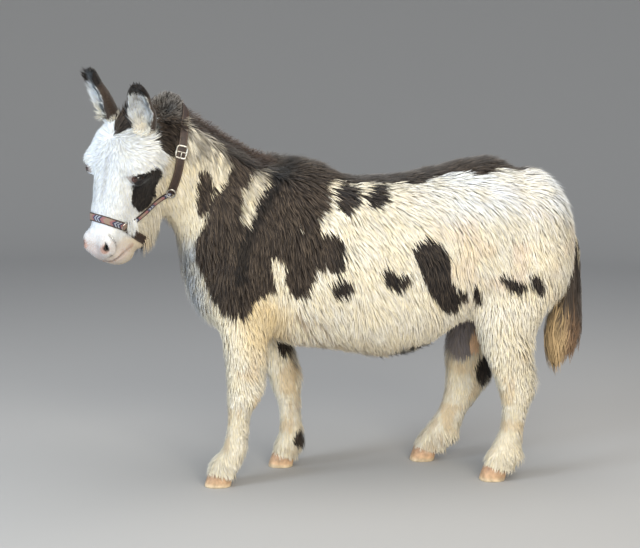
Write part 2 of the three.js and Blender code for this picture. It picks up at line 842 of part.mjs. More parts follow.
function eyeCentre(side) {
  const aside = HEAD.side.clone().multiplyScalar(side * EYE_LOOK[0]);
  const look = aside.addScaledVector(HEAD.front, EYE_LOOK[1]).normalize();
  const from = onHead(side * EYE_FROM[0], EYE_FROM[1], EYE_FROM[2]);
  return { look, centre: reach(headField, from, look).addScaledVector(look, -EYE_DEPTH) };
}

function ballSolid(centre, radius, stretch = null) {
  const geometry = new THREE.SphereGeometry(radius, 12, 8);
  geometry.rotateX(Math.PI / 2);
  if (stretch) {
    geometry.scale(1, 1, stretch.length);
    geometry.applyQuaternion(new THREE.Quaternion().setFromUnitVectors(Z_AXIS, stretch.along));
  }
  geometry.translate(centre.x, centre.y, centre.z);
  return solidOf(geometry);
}

// The socket: room for the eyeball and the opening between the lids in front of it.
function socketSolid({ look, centre }) {
  const opening = centre.clone().addScaledVector(look, 0.85 * EYE_DEPTH);
  const lids = ballSolid(opening, LID_OPENING, { along: look, length: LID_REACH });
  return ballSolid(centre, EYE_RADIUS + GAP).add(lids);
}

// ---------------------------------------------------------------- hooves
// A hoof's wall leans back as it rises: oval rings from the flat sole to above the slanted top.
function hoofSolid({ y, sole }) {
  const [toe, heel] = sole;
  const n = HOOF_SEGMENTS;
  const positions = [];
  const index = [];
  HOOF_RINGS.forEach(([z, lean, half]) => {
    const length = (heel - toe) / 2 - HOOF_TAPER * z;
    for (let i = 0; i < n; i++) {
      const cos = Math.cos((2 * Math.PI * i) / n);
      const sin = Math.sin((2 * Math.PI * i) / n);
      const square = (Math.abs(cos) ** HOOF_POWER + Math.abs(sin) ** HOOF_POWER) ** (-1 / HOOF_POWER);
      positions.push((toe + heel) / 2 + lean + length * cos * square, y + half * sin * square, z);
    }
  });
  for (let r = 0; r < HOOF_RINGS.length - 1; r++) {
    for (let i = 0; i < n; i++) {
      const a = r * n + i;
      const b = r * n + ((i + 1) % n);
      index.push(a, b, b + n, a, b + n, a + n);
    }
  }
  const top = (HOOF_RINGS.length - 1) * n;
  for (let i = 1; i < n - 1; i++) {
    index.push(0, i + 1, i, top, top + i, top + i + 1);
  }
  return solidFrom({ positions, index });
}

// The coronet: the slanted plane between the hoof and the hair of the pastern.
function coronet({ y, sole }) {
  const run = sole[1] - sole[0];
  const point = vec([sole[0], y, HOOF_TOE]);
  const normal = vec([HOOF_TOE - HOOF_HEEL, 0, run]).normalize();
  return { point, normal };
}

// ---------------------------------------------------------------- parting the body
const SWELL = 1.006; // a gap of about half a millimetre where ears and tail meet the body
const HEAD_MIDDLE = [0, -100, -40];
const RUMP_MIDDLE = [560, 0, 650];
const HEAD_NORMAL = vec([-0.62, -0.78, -0.25]).normalize();
const HEAD_CUT = { point: vec([-470, -110, 1010]), normal: HEAD_NORMAL };
const JAW_CUT = { point: onHead(0, -242, 0), normal: HEAD.front };
const TRUNK_BOX = [[-440, -260, 300], [790, 260, 960]];
const NECK_BOX = [[-560, -300, 540], [60, 220, 1120]];
const TAIL_BOX = [[620, -80, 230], [800, 80, 800]];
const HEAD_BOX = [[-760, -400, 560], [-330, 120, 1100]];
const HEAD_REAR = -385; // nothing of the head lies behind this x
const NECK_CUT = { point: vec([-392, 0, 700]), normal: vec([-0.555, 0, 0.832]).normalize() };
const CHEST_CUT = { point: vec([0, 0, 600]), normal: Z_AXIS };
// How far a leg's grid reaches past its box, below and above.
const LEG_MARGIN = 64;
const LEG_ABOVE = 60;
const LEG_BOXES = {
  fore_left: [[-360, -260, -20], [-105, -36, 430]],
  fore_right: [[-290, 36, -20], [-20, 260, 430]],
  hind_left: [[400, -260, -20], [720, -20, 500]],
  hind_right: [[352, 20, -20], [720, 260, 500]],
};

function grownBlock([low, high], grow) {
  return block(low.map((v) => v - grow), high.map((v) => v + grow));
}

function keepBeyond(solid, { point, normal }) {
  return beside(solid, point, normal.clone().negate());
}

// All that lies ahead of the neck, up to a plane across the body.
function headBlock(grow) {
  const [low, high] = HEAD_BOX;
  const room = HEAD_CELL[0];
  const corner = [HEAD_REAR + grow, high[1] + room, high[2] + room];
  return block(low.map((v) => v - room), corner);
}

function cutHead(room) {
  let solid = solidFrom(meshField(bodyField, HEAD_BOX[0], HEAD_BOX[1], HEAD_CELL));
  solid = solid.intersect(headBlock(-GAP / 2));
  solid = keepBeyond(solid, HEAD_CUT);
  solid = keepBeyond(solid, JAW_CUT);
  return mainPiece(solid.subtract(room));
}

function headRegion() {
  return widened(HEAD_CUT).intersect(widened(JAW_CUT)).intersect(headBlock(GAP / 2));
}

// The half of space beyond a cut, drawn back by half a gap.
function widened({ point, normal }) {
  return beyond(point.clone().addScaledVector(normal, -GAP / 2), normal);
}

function cutNeck(room) {
  let solid = solidFrom(meshField(bodyField, NECK_BOX[0], NECK_BOX[1], NECK_CELL));
  solid = keepBeyond(keepBeyond(solid, NECK_CUT), CHEST_CUT);
  return mainPiece(solid.subtract(headRegion()).subtract(room));
}

function cutTrunk() {
  let solid = solidFrom(meshField(bodyField, TRUNK_BOX[0], TRUNK_BOX[1], TRUNK_CELL));
  solid = solid.subtract(widened(NECK_CUT).intersect(widened(CHEST_CUT)));
  for (const box of Object.values(LEG_BOXES)) solid = solid.subtract(grownBlock(box, GAP / 2));
  return mainPiece(solid.subtract(headRegion()));
}

function cutLeg(name) {
  const [low, high] = LEG_BOXES[name];
  const pair = name.startsWith('fore') ? 'fore' : 'hind';
  const meshHigh = [high[0] + LEG_ABOVE, high[1] + LEG_ABOVE, high[2] + LEG_ABOVE];
  const meshLow = [low[0] - LEG_MARGIN, low[1] - LEG_MARGIN, 0];
  const whole = solidFrom(meshField(bodyField, meshLow, meshHigh, LEG_CELL[pair]));
  const leg = whole.intersect(grownBlock(LEG_BOXES[name], -GAP / 2));
  const joint = { point: vec([0, 0, pair === 'fore' ? KNEE : HOCK]), normal: Z_AXIS };
  const upper = mainPiece(keepBeyond(leg, joint));
  const shin = beside(leg, joint.point, joint.normal);
  const lower = mainPiece(keepBeyond(shin, coronet(LEGS[name])));
  return { upper, lower };
}

function cutEar(ear, head) {
  const [shell, bowl] = earLofts(ear);
  const outside = loftSolid(shell, EAR_RINGS[0], EAR_SEGMENTS[0]);
  const cup = outside.subtract(loftSolid(bowl, EAR_RINGS[1], EAR_SEGMENTS[1]));
  return mainPiece(cup.subtract(head));
}

// ---------------------------------------------------------------- assembly
function geometryOf(solid) {
  const { vertProperties, triVerts, numProp } = solid.getMesh();
  const geometry = new THREE.BufferGeometry();
  const positions = new Float32Array((vertProperties.length / numProp) * 3);
  for (let i = 0; i < positions.length / 3; i++) {
    for (let c = 0; c < 3; c++) positions[3 * i + c] = vertProperties[i * numProp + c];
  }
  geometry.setAttribute('position', new THREE.BufferAttribute(positions, 3));
  geometry.setIndex(new THREE.BufferAttribute(new Uint32Array(triVerts), 1));
  geometry.computeVertexNormals();
  return geometry;
}

const donkey = new THREE.Group();

// The material's name is the finish it stands for.
function addNode(name, solid, finish) {
  const material = new THREE.MeshStandardMaterial({ name: finish, ...FINISH[finish] });
  const mesh = new THREE.Mesh(geometryOf(solid), material);
  mesh.name = name;
  donkey.add(mesh);
}

const halter = makeHalter();
const eyes = { left: eyeCentre(1), right: eyeCentre(-1) };
const sockets = Object.values(eyes).map(socketSolid);
const headRoom = sockets.reduce((all, one) => all.add(one), halter.room);

addNode('trunk', cutTrunk(), 'darkCoat');
addNode('neck', cutNeck(halter.room), 'darkCoat');
addNode('head', cutHead(headRoom), 'coat');
for (const [name, eye] of Object.entries(eyes)) {
  addNode(`eye_${name}`, ballSolid(eye.centre, EYE_RADIUS), 'eye');
}

const headWhole = solidFrom(meshField(bodyField, HEAD_BOX[0], HEAD_BOX[1], HEAD_CELL));
const headGrown = swollen(headWhole, onHead(...HEAD_MIDDLE), SWELL);
for (const [name, ear] of Object.entries(EARS)) addNode(`ear_${name}`, cutEar(ear, headGrown), 'darkCoat');

for (const name of Object.keys(LEGS)) {
  const { upper, lower } = cutLeg(name);
  addNode(`leg_${name}_upper`, upper, 'coat');
  addNode(`leg_${name}_lower`, lower, 'coat');
  const top = coronet(LEGS[name]);
  addNode(`hoof_${name}`, beside(hoofSolid(LEGS[name]), top.point, top.normal), 'hoofHorn');
}

const trunkWhole = solidFrom(meshField(bodyField, TRUNK_BOX[0], TRUNK_BOX[1], TRUNK_CELL));
const rumpGrown = swollen(trunkWhole, vec(RUMP_MIDDLE), SWELL);
const tail = solidFrom(meshField(tailField, TAIL_BOX[0], TAIL_BOX[1], TAIL_CELL));
addNode('tail', mainPiece(tail.subtract(rumpGrown)), 'tailHair');

for (const [name, { solid, finish }] of Object.entries(halter.made)) addNode(name, solid, finish);

// The origin goes to the middle of the footprint of the whole model, on the ground.
const bounds = new THREE.Box3().setFromObject(donkey);
const middle = bounds.getCenter(new THREE.Vector3());
const standing = new THREE.Group();
standing.name = 'standing';
donkey.position.set(-middle.x, -middle.y, -bounds.min.z);
standing.add(donkey);

export default standing;
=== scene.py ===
"""A miniature donkey in its winter coat: skin, tufts of hair, eyes, hooves and a leather halter.

Shapes are worked out in millimetres in the donkey's own space, where it faces -X, its left side
is towards -Y and its hooves stand on z = 0, and are then put in the frame's place in metres.
"""

import math
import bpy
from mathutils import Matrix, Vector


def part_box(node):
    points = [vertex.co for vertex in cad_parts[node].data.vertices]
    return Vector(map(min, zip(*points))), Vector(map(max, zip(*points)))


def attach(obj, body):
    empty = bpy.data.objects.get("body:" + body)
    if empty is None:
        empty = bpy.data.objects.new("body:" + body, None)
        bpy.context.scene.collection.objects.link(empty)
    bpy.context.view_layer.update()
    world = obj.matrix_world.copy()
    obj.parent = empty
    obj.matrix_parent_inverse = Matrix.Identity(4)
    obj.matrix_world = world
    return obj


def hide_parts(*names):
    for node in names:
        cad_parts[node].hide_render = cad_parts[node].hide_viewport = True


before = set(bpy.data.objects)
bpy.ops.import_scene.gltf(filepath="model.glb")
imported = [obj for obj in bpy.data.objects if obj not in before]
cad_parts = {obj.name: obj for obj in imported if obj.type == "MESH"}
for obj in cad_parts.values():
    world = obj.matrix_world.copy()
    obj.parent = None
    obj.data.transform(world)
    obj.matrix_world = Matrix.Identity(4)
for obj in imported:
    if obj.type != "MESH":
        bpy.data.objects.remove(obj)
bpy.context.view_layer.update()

from types import SimpleNamespace

import bpy
import numpy as np
from bpy.props import FloatProperty, FloatVectorProperty, IntProperty, PointerProperty
from mathutils import Matrix, Vector

bl_info = {
    "name": "Miniature donkey",
    "version": (1, 0, 0),
    "blender": (4, 5, 0),
    "location": "3D View > Sidebar > Donkey",
    "description": "Builds the skin, coat, eyes, hooves and halter of a miniature donkey",
    "category": "Object",
}

# ---- place in the frame
MM = 0.001
TOE_X = -330.0  # the left fore hoof's toe and outer wall, in the donkey's own space
HOOF_HALF = 31.0
FORE_LEFT_Y = -102.0
_hoof_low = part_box("hoof_fore_left")[0]
SHIFT = np.array([_hoof_low.x / MM - TOE_X, _hoof_low.y / MM - (FORE_LEFT_Y - HOOF_HALF), 0.0])


def to_frame(points):
    """Millimetres in the donkey's own space to metres in the frame."""
    return (np.asarray(points) + SHIFT) * MM


def from_frame(point):
    """Metres in the frame to millimetres in the donkey's own space."""
    return np.array(point, float) / MM - SHIFT


# ---- small numeric helpers
def smooth_min(a, b, k):
    """Smaller of two distances, rounded over a width k: min less a parabola where they are close."""
    h = np.maximum(k - np.abs(a - b), 0) / k
    return np.minimum(a, b) - 0.25 * k * h * h


def smooth_max(a, b, k):
    return -smooth_min(-a, -b, k)


def ramp(x, low, high):
    """0 below low, 1 above high and a smooth cubic between; low may be the larger."""
    t = np.clip((x - low) / (high - low), 0, 1)
    return t * t * (3 - 2 * t)


def norm(v):
    return np.linalg.norm(v, axis=-1)


def unit(v):
    return v / np.maximum(norm(v), 1e-9)[..., None]


def columns(*values):
    """Values side by side along a new last axis, each spread to the same shape."""
    return np.stack(np.broadcast_arrays(*values), axis=-1)


def circle(count):
    return np.linspace(0, 2 * math.pi, count, endpoint=False)


def dot(a, b):
    return np.sum(a * b, axis=-1)


def across(vectors, normals):
    """Vectors with their part along the normals taken away, at length 1."""
    return unit(vectors - normals * dot(vectors, normals)[..., None])


def lattice(cells, seed):
    """A repeatable number from 0 to 1 for each whole-numbered cell."""
    mixed = (cells[..., 0] * 73856093) ^ (cells[..., 1] * 19349663) ^ (cells[..., 2] * 83492791)
    mixed = (mixed + seed * 1013904223) & 0x7FFFFFFF
    mixed = (mixed ^ (mixed >> 13)) * 1274126177 & 0x7FFFFFFF
    return ((mixed ^ (mixed >> 16)) & 0xFFFFF) / float(0xFFFFF)


def noise(points, scale, seed):
    """Value noise from -1 to 1: the lattice's numbers at a cell's corners, mixed smoothly."""
    q = points / scale
    cell = np.floor(q).astype(np.int64)
    t = q - cell
    t = t * t * (3 - 2 * t)
    total = np.zeros(len(points))
    for corner in range(8):
        step = np.array([corner & 1, (corner >> 1) & 1, corner >> 2])
        total += np.prod(np.where(step, t, 1 - t), axis=1) * lattice(cell + step, seed)
    return 2 * total - 1


def noise_vectors(points, scale, seed):
    return np.stack([noise(points, scale, seed + axis) for axis in range(3)], axis=-1)


def lock_centres(points, size, seed):
    """For each point the nearest of a scattered set of points, one in each cell of a lattice."""
    cell = np.floor(points / size).astype(np.int64)
    best = np.full(len(points), 1e9)
    centre = points.copy()
    for step in np.ndindex(3, 3, 3):
        here = cell + np.array(step) - 1
        spot = np.stack([lattice(here, seed + axis) for axis in range(3)], axis=-1)
        spot = (here + spot) * size
        far = norm(spot - points)
        nearer = far < best
        best = np.where(nearer, far, best)
        centre = np.where(nearer[:, None], spot, centre)
    return centre


# ---- lofts
SAMPLES = 96
X, Y, Z = np.eye(3)


def resample(rows):
    """Cubic curves through rows of (station, values), flat at both ends, at even stations."""
    table = np.array(rows, float)
    s = table[:, 0]
    v = table[:, 1:]
    gaps = np.diff(s)[:, None]
    steep = np.diff(v, axis=0) / gaps
    slope = np.zeros_like(v)
    slope[1:-1] = (steep[:-1] * gaps[1:] + steep[1:] * gaps[:-1]) / (gaps[:-1] + gaps[1:])
    x = np.linspace(s[0], s[-1], SAMPLES)
    i = np.clip(np.searchsorted(s, x, side="right") - 1, 0, len(s) - 2)
    h = (s[i + 1] - s[i])[:, None]
    u = (x - s[i])[:, None] / h
    start = 2 * u**3 - 3 * u**2 + 1
    ease = (u**3 - 2 * u**2 + u) * h * slope[i] + (u**3 - u**2) * h * slope[i + 1]
    return s[0], s[-1], start * v[i] + (1 - start) * v[i + 1] + ease


class Loft:
    """An oval section carried along an axis, as a distance.

    Each row is (station, front centre, side centre, front radius, back radius, side radius). The
    level of a point is the p-norm of its offsets over the radii, less one, and the distance is
    that level over its own slope. The caps are the lengths of the rounded ends.
    """

    def __init__(self, origin, along, front, rows, caps, power=2.0):
        self.origin = np.array(origin, float)
        self.along = unit(np.array(along, float))
        self.front = across(np.array(front, float), self.along)
        self.side = np.cross(self.along, self.front)
        self.start, self.end, self.table = resample(rows)
        self.caps = caps
        self.power = power

    def local(self, points):
        """Station, front and side of each point, from the axis."""
        q = points - self.origin
        return q @ self.along, q @ self.front, q @ self.side

    def row(self, stations):
        """Centres and radii at each station."""
        t = np.clip(stations, self.start, self.end)
        x = (t - self.start) / (self.end - self.start) * (SAMPLES - 1)
        i = np.minimum(x.astype(int), SAMPLES - 2)
        u = (x - i)[..., None]
        return self.table[i] * (1 - u) + self.table[i + 1] * u

    def __call__(self, points):
        s, f, l = self.local(points)
        v = self.row(s)
        f = f - v[..., 0]
        l = l - v[..., 1]
        rf = np.where(f > 0, v[..., 2], v[..., 3])
        rl = v[..., 4]
        over = s - np.clip(s, self.start, self.end)
        rc = np.where(over > 0, self.caps[1], self.caps[0])
        a = np.abs(f) / rf
        b = np.abs(l) / rl
        c = np.abs(over) / rc
        p = self.power
        level = (a**p + b**p + c**p + 1e-12) ** (1 / p)
        q = p - 1
        slope = np.sqrt((a**q / rf) ** 2 + (b**q / rl) ** 2 + (c**q / rc) ** 2) * level ** (1 - p)
        return (level - 1) / (slope + 1e-9)


def ball(points, centre, radius):
    return norm(points - centre) - radius


def oval(points, centre, radii, axes):
    """Distance to an ellipsoid: its level times the level less one, over the slope."""
    q = (points - centre) @ np.stack(axes, axis=1)
    radii = np.array(radii, float)
    level = norm(q / radii) + 1e-9
    slope = norm(q / radii**2) + 1e-9
    return level * (level - 1) / slope


# ---- the head's own space
HEAD_TURN = math.radians(50)
HEAD_ROLL = math.radians(9)
HEAD_PITCH = math.radians(10)
BROW = np.array([-592.0, -195.0, 880.0])  # middle of the face between the eyes


def head_axes():
    """The head's side, front and up: a turn to the left, a roll and a poke forward of the muzzle."""
    ahead = np.array([-math.cos(HEAD_TURN), -math.sin(HEAD_TURN), 0])
    left = np.array([math.sin(HEAD_TURN), -math.cos(HEAD_TURN), 0])
    rolled = left * math.sin(HEAD_ROLL) + Z * math.cos(HEAD_ROLL)
    up = rolled * math.cos(HEAD_PITCH) - ahead * math.sin(HEAD_PITCH)
    front = ahead * math.cos(HEAD_PITCH) + rolled * math.sin(HEAD_PITCH)
    return np.cross(up, front), front, up


SIDE, FRONT, UP = head_axes()
HEAD_AXES = (SIDE, FRONT, -UP)
HEAD_FRAME = np.stack(HEAD_AXES, axis=1)


def on_head(side, front, down):
    """A point from its distance to the left of the brow, forward of it and down the face."""
    return BROW + SIDE * side + FRONT * front - UP * down


def beside(side, places):
    """Points of a line down one side of the head, from (aside, front, down)."""
    return [on_head(side * a, b, c) for a, b, c in places]


def head_place(points):
    """Side, front and down of each point."""
    q = (points - BROW) @ HEAD_FRAME
    return q[..., 0], q[..., 1], q[..., 2]


def head_loft(rows, caps, power):
    """Rows down the head: (down, front profile, back profile, half width)."""
    full = [(down, (f + b) / 2, 0, (f - b) / 2, (f - b) / 2, half) for down, f, b, half in rows]
    return Loft(BROW, -UP, FRONT, full, caps, power)


FACE = head_loft([
    (-150, -48, -140, 64), (-110, -16, -168, 90), (-60, 3, -185, 108), (-20, 2, -182, 101),
    (15, -3, -172, 82),
    (50, -8, -162, 70), (85, -12, -154, 62), (120, -14, -146, 56), (155, -22, -140, 48), (188, -26, -138, 45),
    (210, -34, -134, 42),
], (34, 30), 2.35)
JAW = head_loft([
    (-60, -110, -205, 60), (0, -105, -226, 76), (50, -100, -230, 76), (100, -92, -232, 68),
    (145, -86, -228, 58),
    (180, -86, -206, 46), (205, -88, -172, 37),
], (45, 28), 2.2)


def head_outline(points):
    """Face and jaw, with the brows, the nostrils' wings and the chin as ellipsoids."""
    d = smooth_min(FACE(points), JAW(points), 40)
    for side in (1, -1):
        d = smooth_min(d, oval(points, on_head(side * 74, -44, -14), (29, 34, 32), HEAD_AXES), 30)
        d = smooth_min(d, oval(points, on_head(side * 30, -42, 192), (20, 20, 28), HEAD_AXES), 22)
    return smooth_min(d, oval(points, on_head(0, -124, 206), (32, 36, 28), HEAD_AXES), 24)


# ---- trunk, neck, legs and dock
# Rows of the trunk: (x, height, radius up, radius down, half width), and of the neck: (station, shift
# to the side, crest, throat, half width).
TRUNK_ROWS = [
    (-215, 645, 205, 232, 165), (-100, 632, 250, 250, 188), (30, 617, 250, 252, 204),
    (180, 610, 254, 260, 207),
    (300, 626, 258, 246, 206), (400, 655, 252, 212, 200), (475, 668, 248, 192, 192),
    (560, 662, 228, 180, 176),
]
TRUNK = Loft((0, 0, 0), X, Z, [(x, z, 0, *radii) for x, z, *radii in TRUNK_ROWS], (172, 172), 2.15)

NECK_ROOT = np.array([-150.0, 0.0, 690.0])
NECK_END = np.array([-470.0, -84.0, 968.0])
NECK_LENGTH = float(np.linalg.norm(NECK_END - NECK_ROOT))
CROWN = np.array([-436.0, -92.0, 1030.0])
CROWN_RADIUS = 45
NECK_ROWS = [
    (0, -10, 225, 185, 150), (110, -6, 182, 168, 128), (210, 0, 148, 156, 112), (300, 2, 130, 150, 102),
    (370, 0, 120, 142, 94), (NECK_LENGTH, 0, 106, 122, 84),
]
NECK = Loft(NECK_ROOT, NECK_END - NECK_ROOT, (0.66, 0, 0.75),
            [(s, 0, *row) for s, *row in NECK_ROWS], (80, 40))

# Each leg: y of its middle, toe and heel of its sole, and rows of
# (height, front x, back x, half width, and a shift of the middle where there is one).
LEGS = {
    "fore_left": (-102, (-330, -256), [
        (42, -322, -240, 34), (65, -315, -228, 38), (100, -286, -214, 33), (146, -272, -209, 31),
        (210, -268, -200, 35), (250, -270, -180, 43), (290, -271, -168, 46), (343, -275, -162, 51),
        (440, -292, -150, 62, 4), (560, -300, -110, 72, 12)]),
    "fore_right": (84, (-134, -62), [
        (42, -122, -44, 34), (65, -118, -32, 38), (100, -106, -32, 33), (150, -104, -40, 31),
        (190, -110, -42, 34), (230, -126, -44, 42), (275, -140, -45, 45), (330, -162, -60, 50),
        (430, -215, -80, 60, 6), (560, -270, -100, 70, 16)]),
    "hind_left": (-112, (449, 523), [
        (42, 462, 556, 34), (65, 464, 574, 38), (100, 484, 570, 34), (150, 504, 572, 32),
        (200, 508, 582, 36), (245, 500, 596, 42), (285, 486, 604, 46), (330, 468, 596, 50),
        (390, 440, 592, 62, 4), (470, 418, 626, 82, 12), (580, 430, 680, 96, 26)]),
    "hind_right": (112, (294, 368), [
        (42, 306, 408, 34), (68, 316, 438, 38), (105, 344, 448, 34), (150, 376, 466, 33),
        (200, 392, 502, 38), (245, 396, 532, 43), (275, 396, 540, 46), (320, 392, 548, 52),
        (380, 394, 568, 64, -4), (470, 410, 620, 82, -12), (580, 430, 680, 96, -26)]),
}


def leg_loft(y, rows):
    full = []
    for z, front, back, half, *shift in rows:
        reach = (back - front) / 2
        full.append((z, -(front + back) / 2, -(y + sum(shift)), reach, reach, half))
    return Loft((0, 0, 0), Z, -X, full, (20, 110), 2.2)


LEG_LOFTS = {name: leg_loft(y, rows) for name, (y, _, rows) in LEGS.items()}

def hanging_loft(rows, caps):
    """The tail's hair or the dock beneath it, from rows of (height, x, front, back, half width)."""
    return Loft((0, 0, 0), -Z, -X, [(-z, -x, 0, *radii) for z, x, *radii in rows], caps)


TAIL = hanging_loft([(735, 690, 26, 26, 24), (690, 722, 26, 26, 26), (620, 730, 28, 28, 27),
                     (520, 728, 38, 36, 32), (420, 720, 50, 48, 38), (375, 718, 50, 48, 38)], (30, 108))
DOCK = hanging_loft([(740, 680, 22, 22, 22), (700, 706, 19, 19, 19), (630, 722, 15, 15, 15),
                     (540, 724, 10, 10, 10), (480, 722, 8, 8, 8)], (30, 20))

# Ears: base, tip and the way that the opening faces, in the head's own space.
EARS = {
    "left": ((60, -50, -116), (80, 54, -228), (0.35, 1, -0.3)),
    "right": ((-60, -50, -132), (-100, 76, -264), (-0.4, 1, -0.3)),
}
EAR_FUR = 3.0  # depth of the coat on the outside of an ear


def ear_lofts(base, tip, facing):
    """The ear's outside and its hollow, two lofts from base to tip that face the same way."""
    root = on_head(*base)
    along = on_head(*tip) - root
    n = float(np.linalg.norm(along))
    opening = on_head(*facing) - BROW
    shell = [(-30, 0, 0, 20, 24, 26), (0.1 * n, 0, 0, 24, 28, 35), (0.35 * n, 0, 0, 24, 27, 40),
             (0.58 * n, 0, 0, 20, 22, 34)]
    hollow = [(0.16 * n, 16, 0, 26, 22, 20), (0.4 * n, 17, 0, 26, 31, 32), (0.56 * n, 16, 0, 24, 26, 27)]
    return (Loft(root, along, opening, shell, (20, 0.42 * n)),
            Loft(root, along, opening, hollow, (18, 0.37 * n)))


EAR_LOFTS = {name: ear_lofts(*ear) for name, ear in EARS.items()}


def each_ear(ear):
    """For each ear, which points are on it, its name and its two lofts."""
    for number, (name, (shell, hollow)) in enumerate(EAR_LOFTS.items(), 1):
        yield ear == number, name, shell, hollow


# ---- the coat's outline and its depth
PARTS = ("trunk", "neck", "head", "fore", "hind")


def part_distances(points):
    """Distance to the outline of each part of the body, one column for each of PARTS."""
    neck = smooth_min(NECK(points), ball(points, CROWN, CROWN_RADIUS), 40)
    fore = np.minimum(LEG_LOFTS["fore_left"](points), LEG_LOFTS["fore_right"](points))
    hind = np.minimum(LEG_LOFTS["hind_left"](points), LEG_LOFTS["hind_right"](points))
    return columns(TRUNK(points), neck, head_outline(points), fore, hind)


def outline_from(parts):
    trunk, neck, head, fore, hind = np.moveaxis(parts, -1, 0)
    d = smooth_min(smooth_min(smooth_min(trunk, neck, 90), fore, 60), hind, 60)
    return smooth_min(d, head, 30)


def outline(points):
    """Distance to the coat's outline, without ears and tail."""
    return outline_from(part_distances(points))


def shares(parts):
    """How much a point belongs to each part: falls off with distance, and adds up to one."""
    w = np.exp(-(parts - parts.min(axis=-1, keepdims=True)) / 20)
    return w / w.sum(axis=-1, keepdims=True)


def crest(points):
    """1 along the top line of the neck, falling to 0 down its sides."""
    s, f, l = NECK.local(points)
    upright = f / np.maximum(np.hypot(f, l - NECK.row(s)[..., 1]), 1e-6)
    return ramp(upright, 0.86, 0.985) * ramp(s, 20, 90) * ramp(f, 20, 60)


def crown(points):
    """1 in the upright hair behind the ears, 0 away from it."""
    return ramp(ball(points, CROWN, CROWN_RADIUS), 22, -4)


def coat_depth(points, weights):
    """Depth of the coat, from the skin to the tips of the hair, mixed from each part's own."""
    z = points[..., 2]
    _, front, down = head_place(points)
    trunk = 19 + 7 * ramp(z, 430, 350)
    neck = 19 + 20 * crest(points) + 12 * crown(points)
    face = np.interp(down, [-150, -110, -60, 0, 90, 150, 180], [20, 13, 8, 5.5, 5, 3, 1.6])
    jaw = np.interp(front, [-230, -190, -140, -100], [12, 10, 5, 0]) * ramp(down, 175, 130)
    leg = np.interp(z, [30, 60, 120, 240, 330, 420], [4, 7, 6, 7, 11, 16])
    own = columns(trunk, neck, face + jaw, leg, leg)
    return dot(weights, own)


# ---- eyes, nostrils and mouth
EYE_RADIUS = 17.0
LOOK = (0.86, 0.5)  # how far the eyes look aside and ahead
SLIT = (26, -31, -19)  # from the inner to the outer corner, in the head's own space
OPENING = (15.5, 4.6, 4.4)  # half length of the opening between the lids, and its height up and down
LID = 3.0


class Eye:
    """The eyeball's centre, where it looks, the line of its corners and the way up across it."""

    def __init__(self, name, side):
        low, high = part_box("eye_" + name)
        self.name = name
        self.side = side
        self.centre = from_frame([(a + b) / 2 for a, b in zip(low, high)])
        self.look = unit(SIDE * side * LOOK[0] + FRONT * LOOK[1])
        corner = SIDE * side * SLIT[0] + FRONT * SLIT[1] - UP * SLIT[2]
        self.out = across(corner, self.look)
        lift = np.cross(self.look, self.out)
        self.lift = lift * np.sign(lift @ UP)

    def local(self, points):
        q = points - self.centre
        return q @ self.out, q @ self.lift, q @ self.look


EYES = {"left": Eye("left", 1), "right": Eye("right", -1)}
NOSTRIL = (42, -29, 200)
MOUTH = [(0, -74, 242), (22, -78, 238), (39, -84, 225), (48, -99, 204), (51, -116, 189)]
WING = [(36, -31, 164), (48, -44, 175), (50, -59, 192), (44, -63, 211), (37, -58, 224)]


def closed_head(points, d):
    """The skin with the lids' bulges over the eyeballs, before the openings are cut."""
    for eye in EYES.values():
        d = smooth_min(d, ball(points, eye.centre, EYE_RADIUS + LID + 0.6), 7)
    return d


def polyline_distance(points, line):
    """Distance to the nearest of the line's pieces."""
    best = np.full(points.shape[:-1], 1e9)
    for a, b in zip(line[:-1], line[1:]):
        ab = b - a
        t = np.clip((points - a) @ ab / (ab @ ab), 0, 1)
        best = np.minimum(best, norm(points - a - t[..., None] * ab))
    return best


def head_openings(points, d):
    """Cuts the eyes' openings, the nostrils and the groove between the lips."""
    for eye in EYES.values():
        centre = eye.centre + eye.look * (EYE_RADIUS + 1)
        d = smooth_max(d, -oval(points, centre, (20, 9.5, 13), (eye.out, eye.lift, eye.look)), 3)
    a, b, c = NOSTRIL
    for side in (1, -1):
        wing = unit(SIDE * side * 0.75 + FRONT * 0.62 - UP * 0.1)
        slant = across(-UP + SIDE * side * 0.1 - FRONT * 0.5, wing)
        axes = (np.cross(wing, slant), slant, wing)
        behind = on_head(side * (a + 2), b - 17, c - 3)
        d = smooth_min(d, oval(points, behind - wing * 5, (11, 20, 9), axes), 5)
        d = smooth_max(d, 2.6 - polyline_distance(points, beside(side, WING)), 3)
        d = smooth_max(d, -oval(points, on_head(side * a, b, c), (4.4, 17, 15), axes), 3)
    for side in (1, -1):
        d = smooth_max(d, 3.4 - polyline_distance(points, beside(side, MOUTH)), 4)
    return d


def ear_skin(points, d):
    """Joins the ears, each an oval cone less its hollow."""
    for shell, hollow in EAR_LOFTS.values():
        cup = smooth_max(shell(points) + EAR_FUR, -hollow(points), 4)
        d = smooth_min(d, cup, 12)
    return d


def skin_field(points):
    """Distance to the skin: the coat's outline sunk by its depth, with dock, ears and openings."""
    parts = part_distances(points)
    d = smooth_min(outline_from(parts) + coat_depth(points, shares(parts)), DOCK(points), 14)
    near = parts[..., 2] < 120
    if near.any():
        local = points[near]
        d[near] = head_openings(local, ear_skin(local, closed_head(local, d[near])))
    return d


def lid_field(points):
    """The skin around an eye before its opening is cut."""
    parts = part_distances(points)
    return closed_head(points, outline_from(parts) + coat_depth(points, shares(parts)))


def slope(field, points, e=0.6):
    """The field's gradient by differences along each axis."""
    return np.stack([(field(points + e * a) - field(points - e * a)) / (2 * e) for a in (X, Y, Z)], axis=-1)


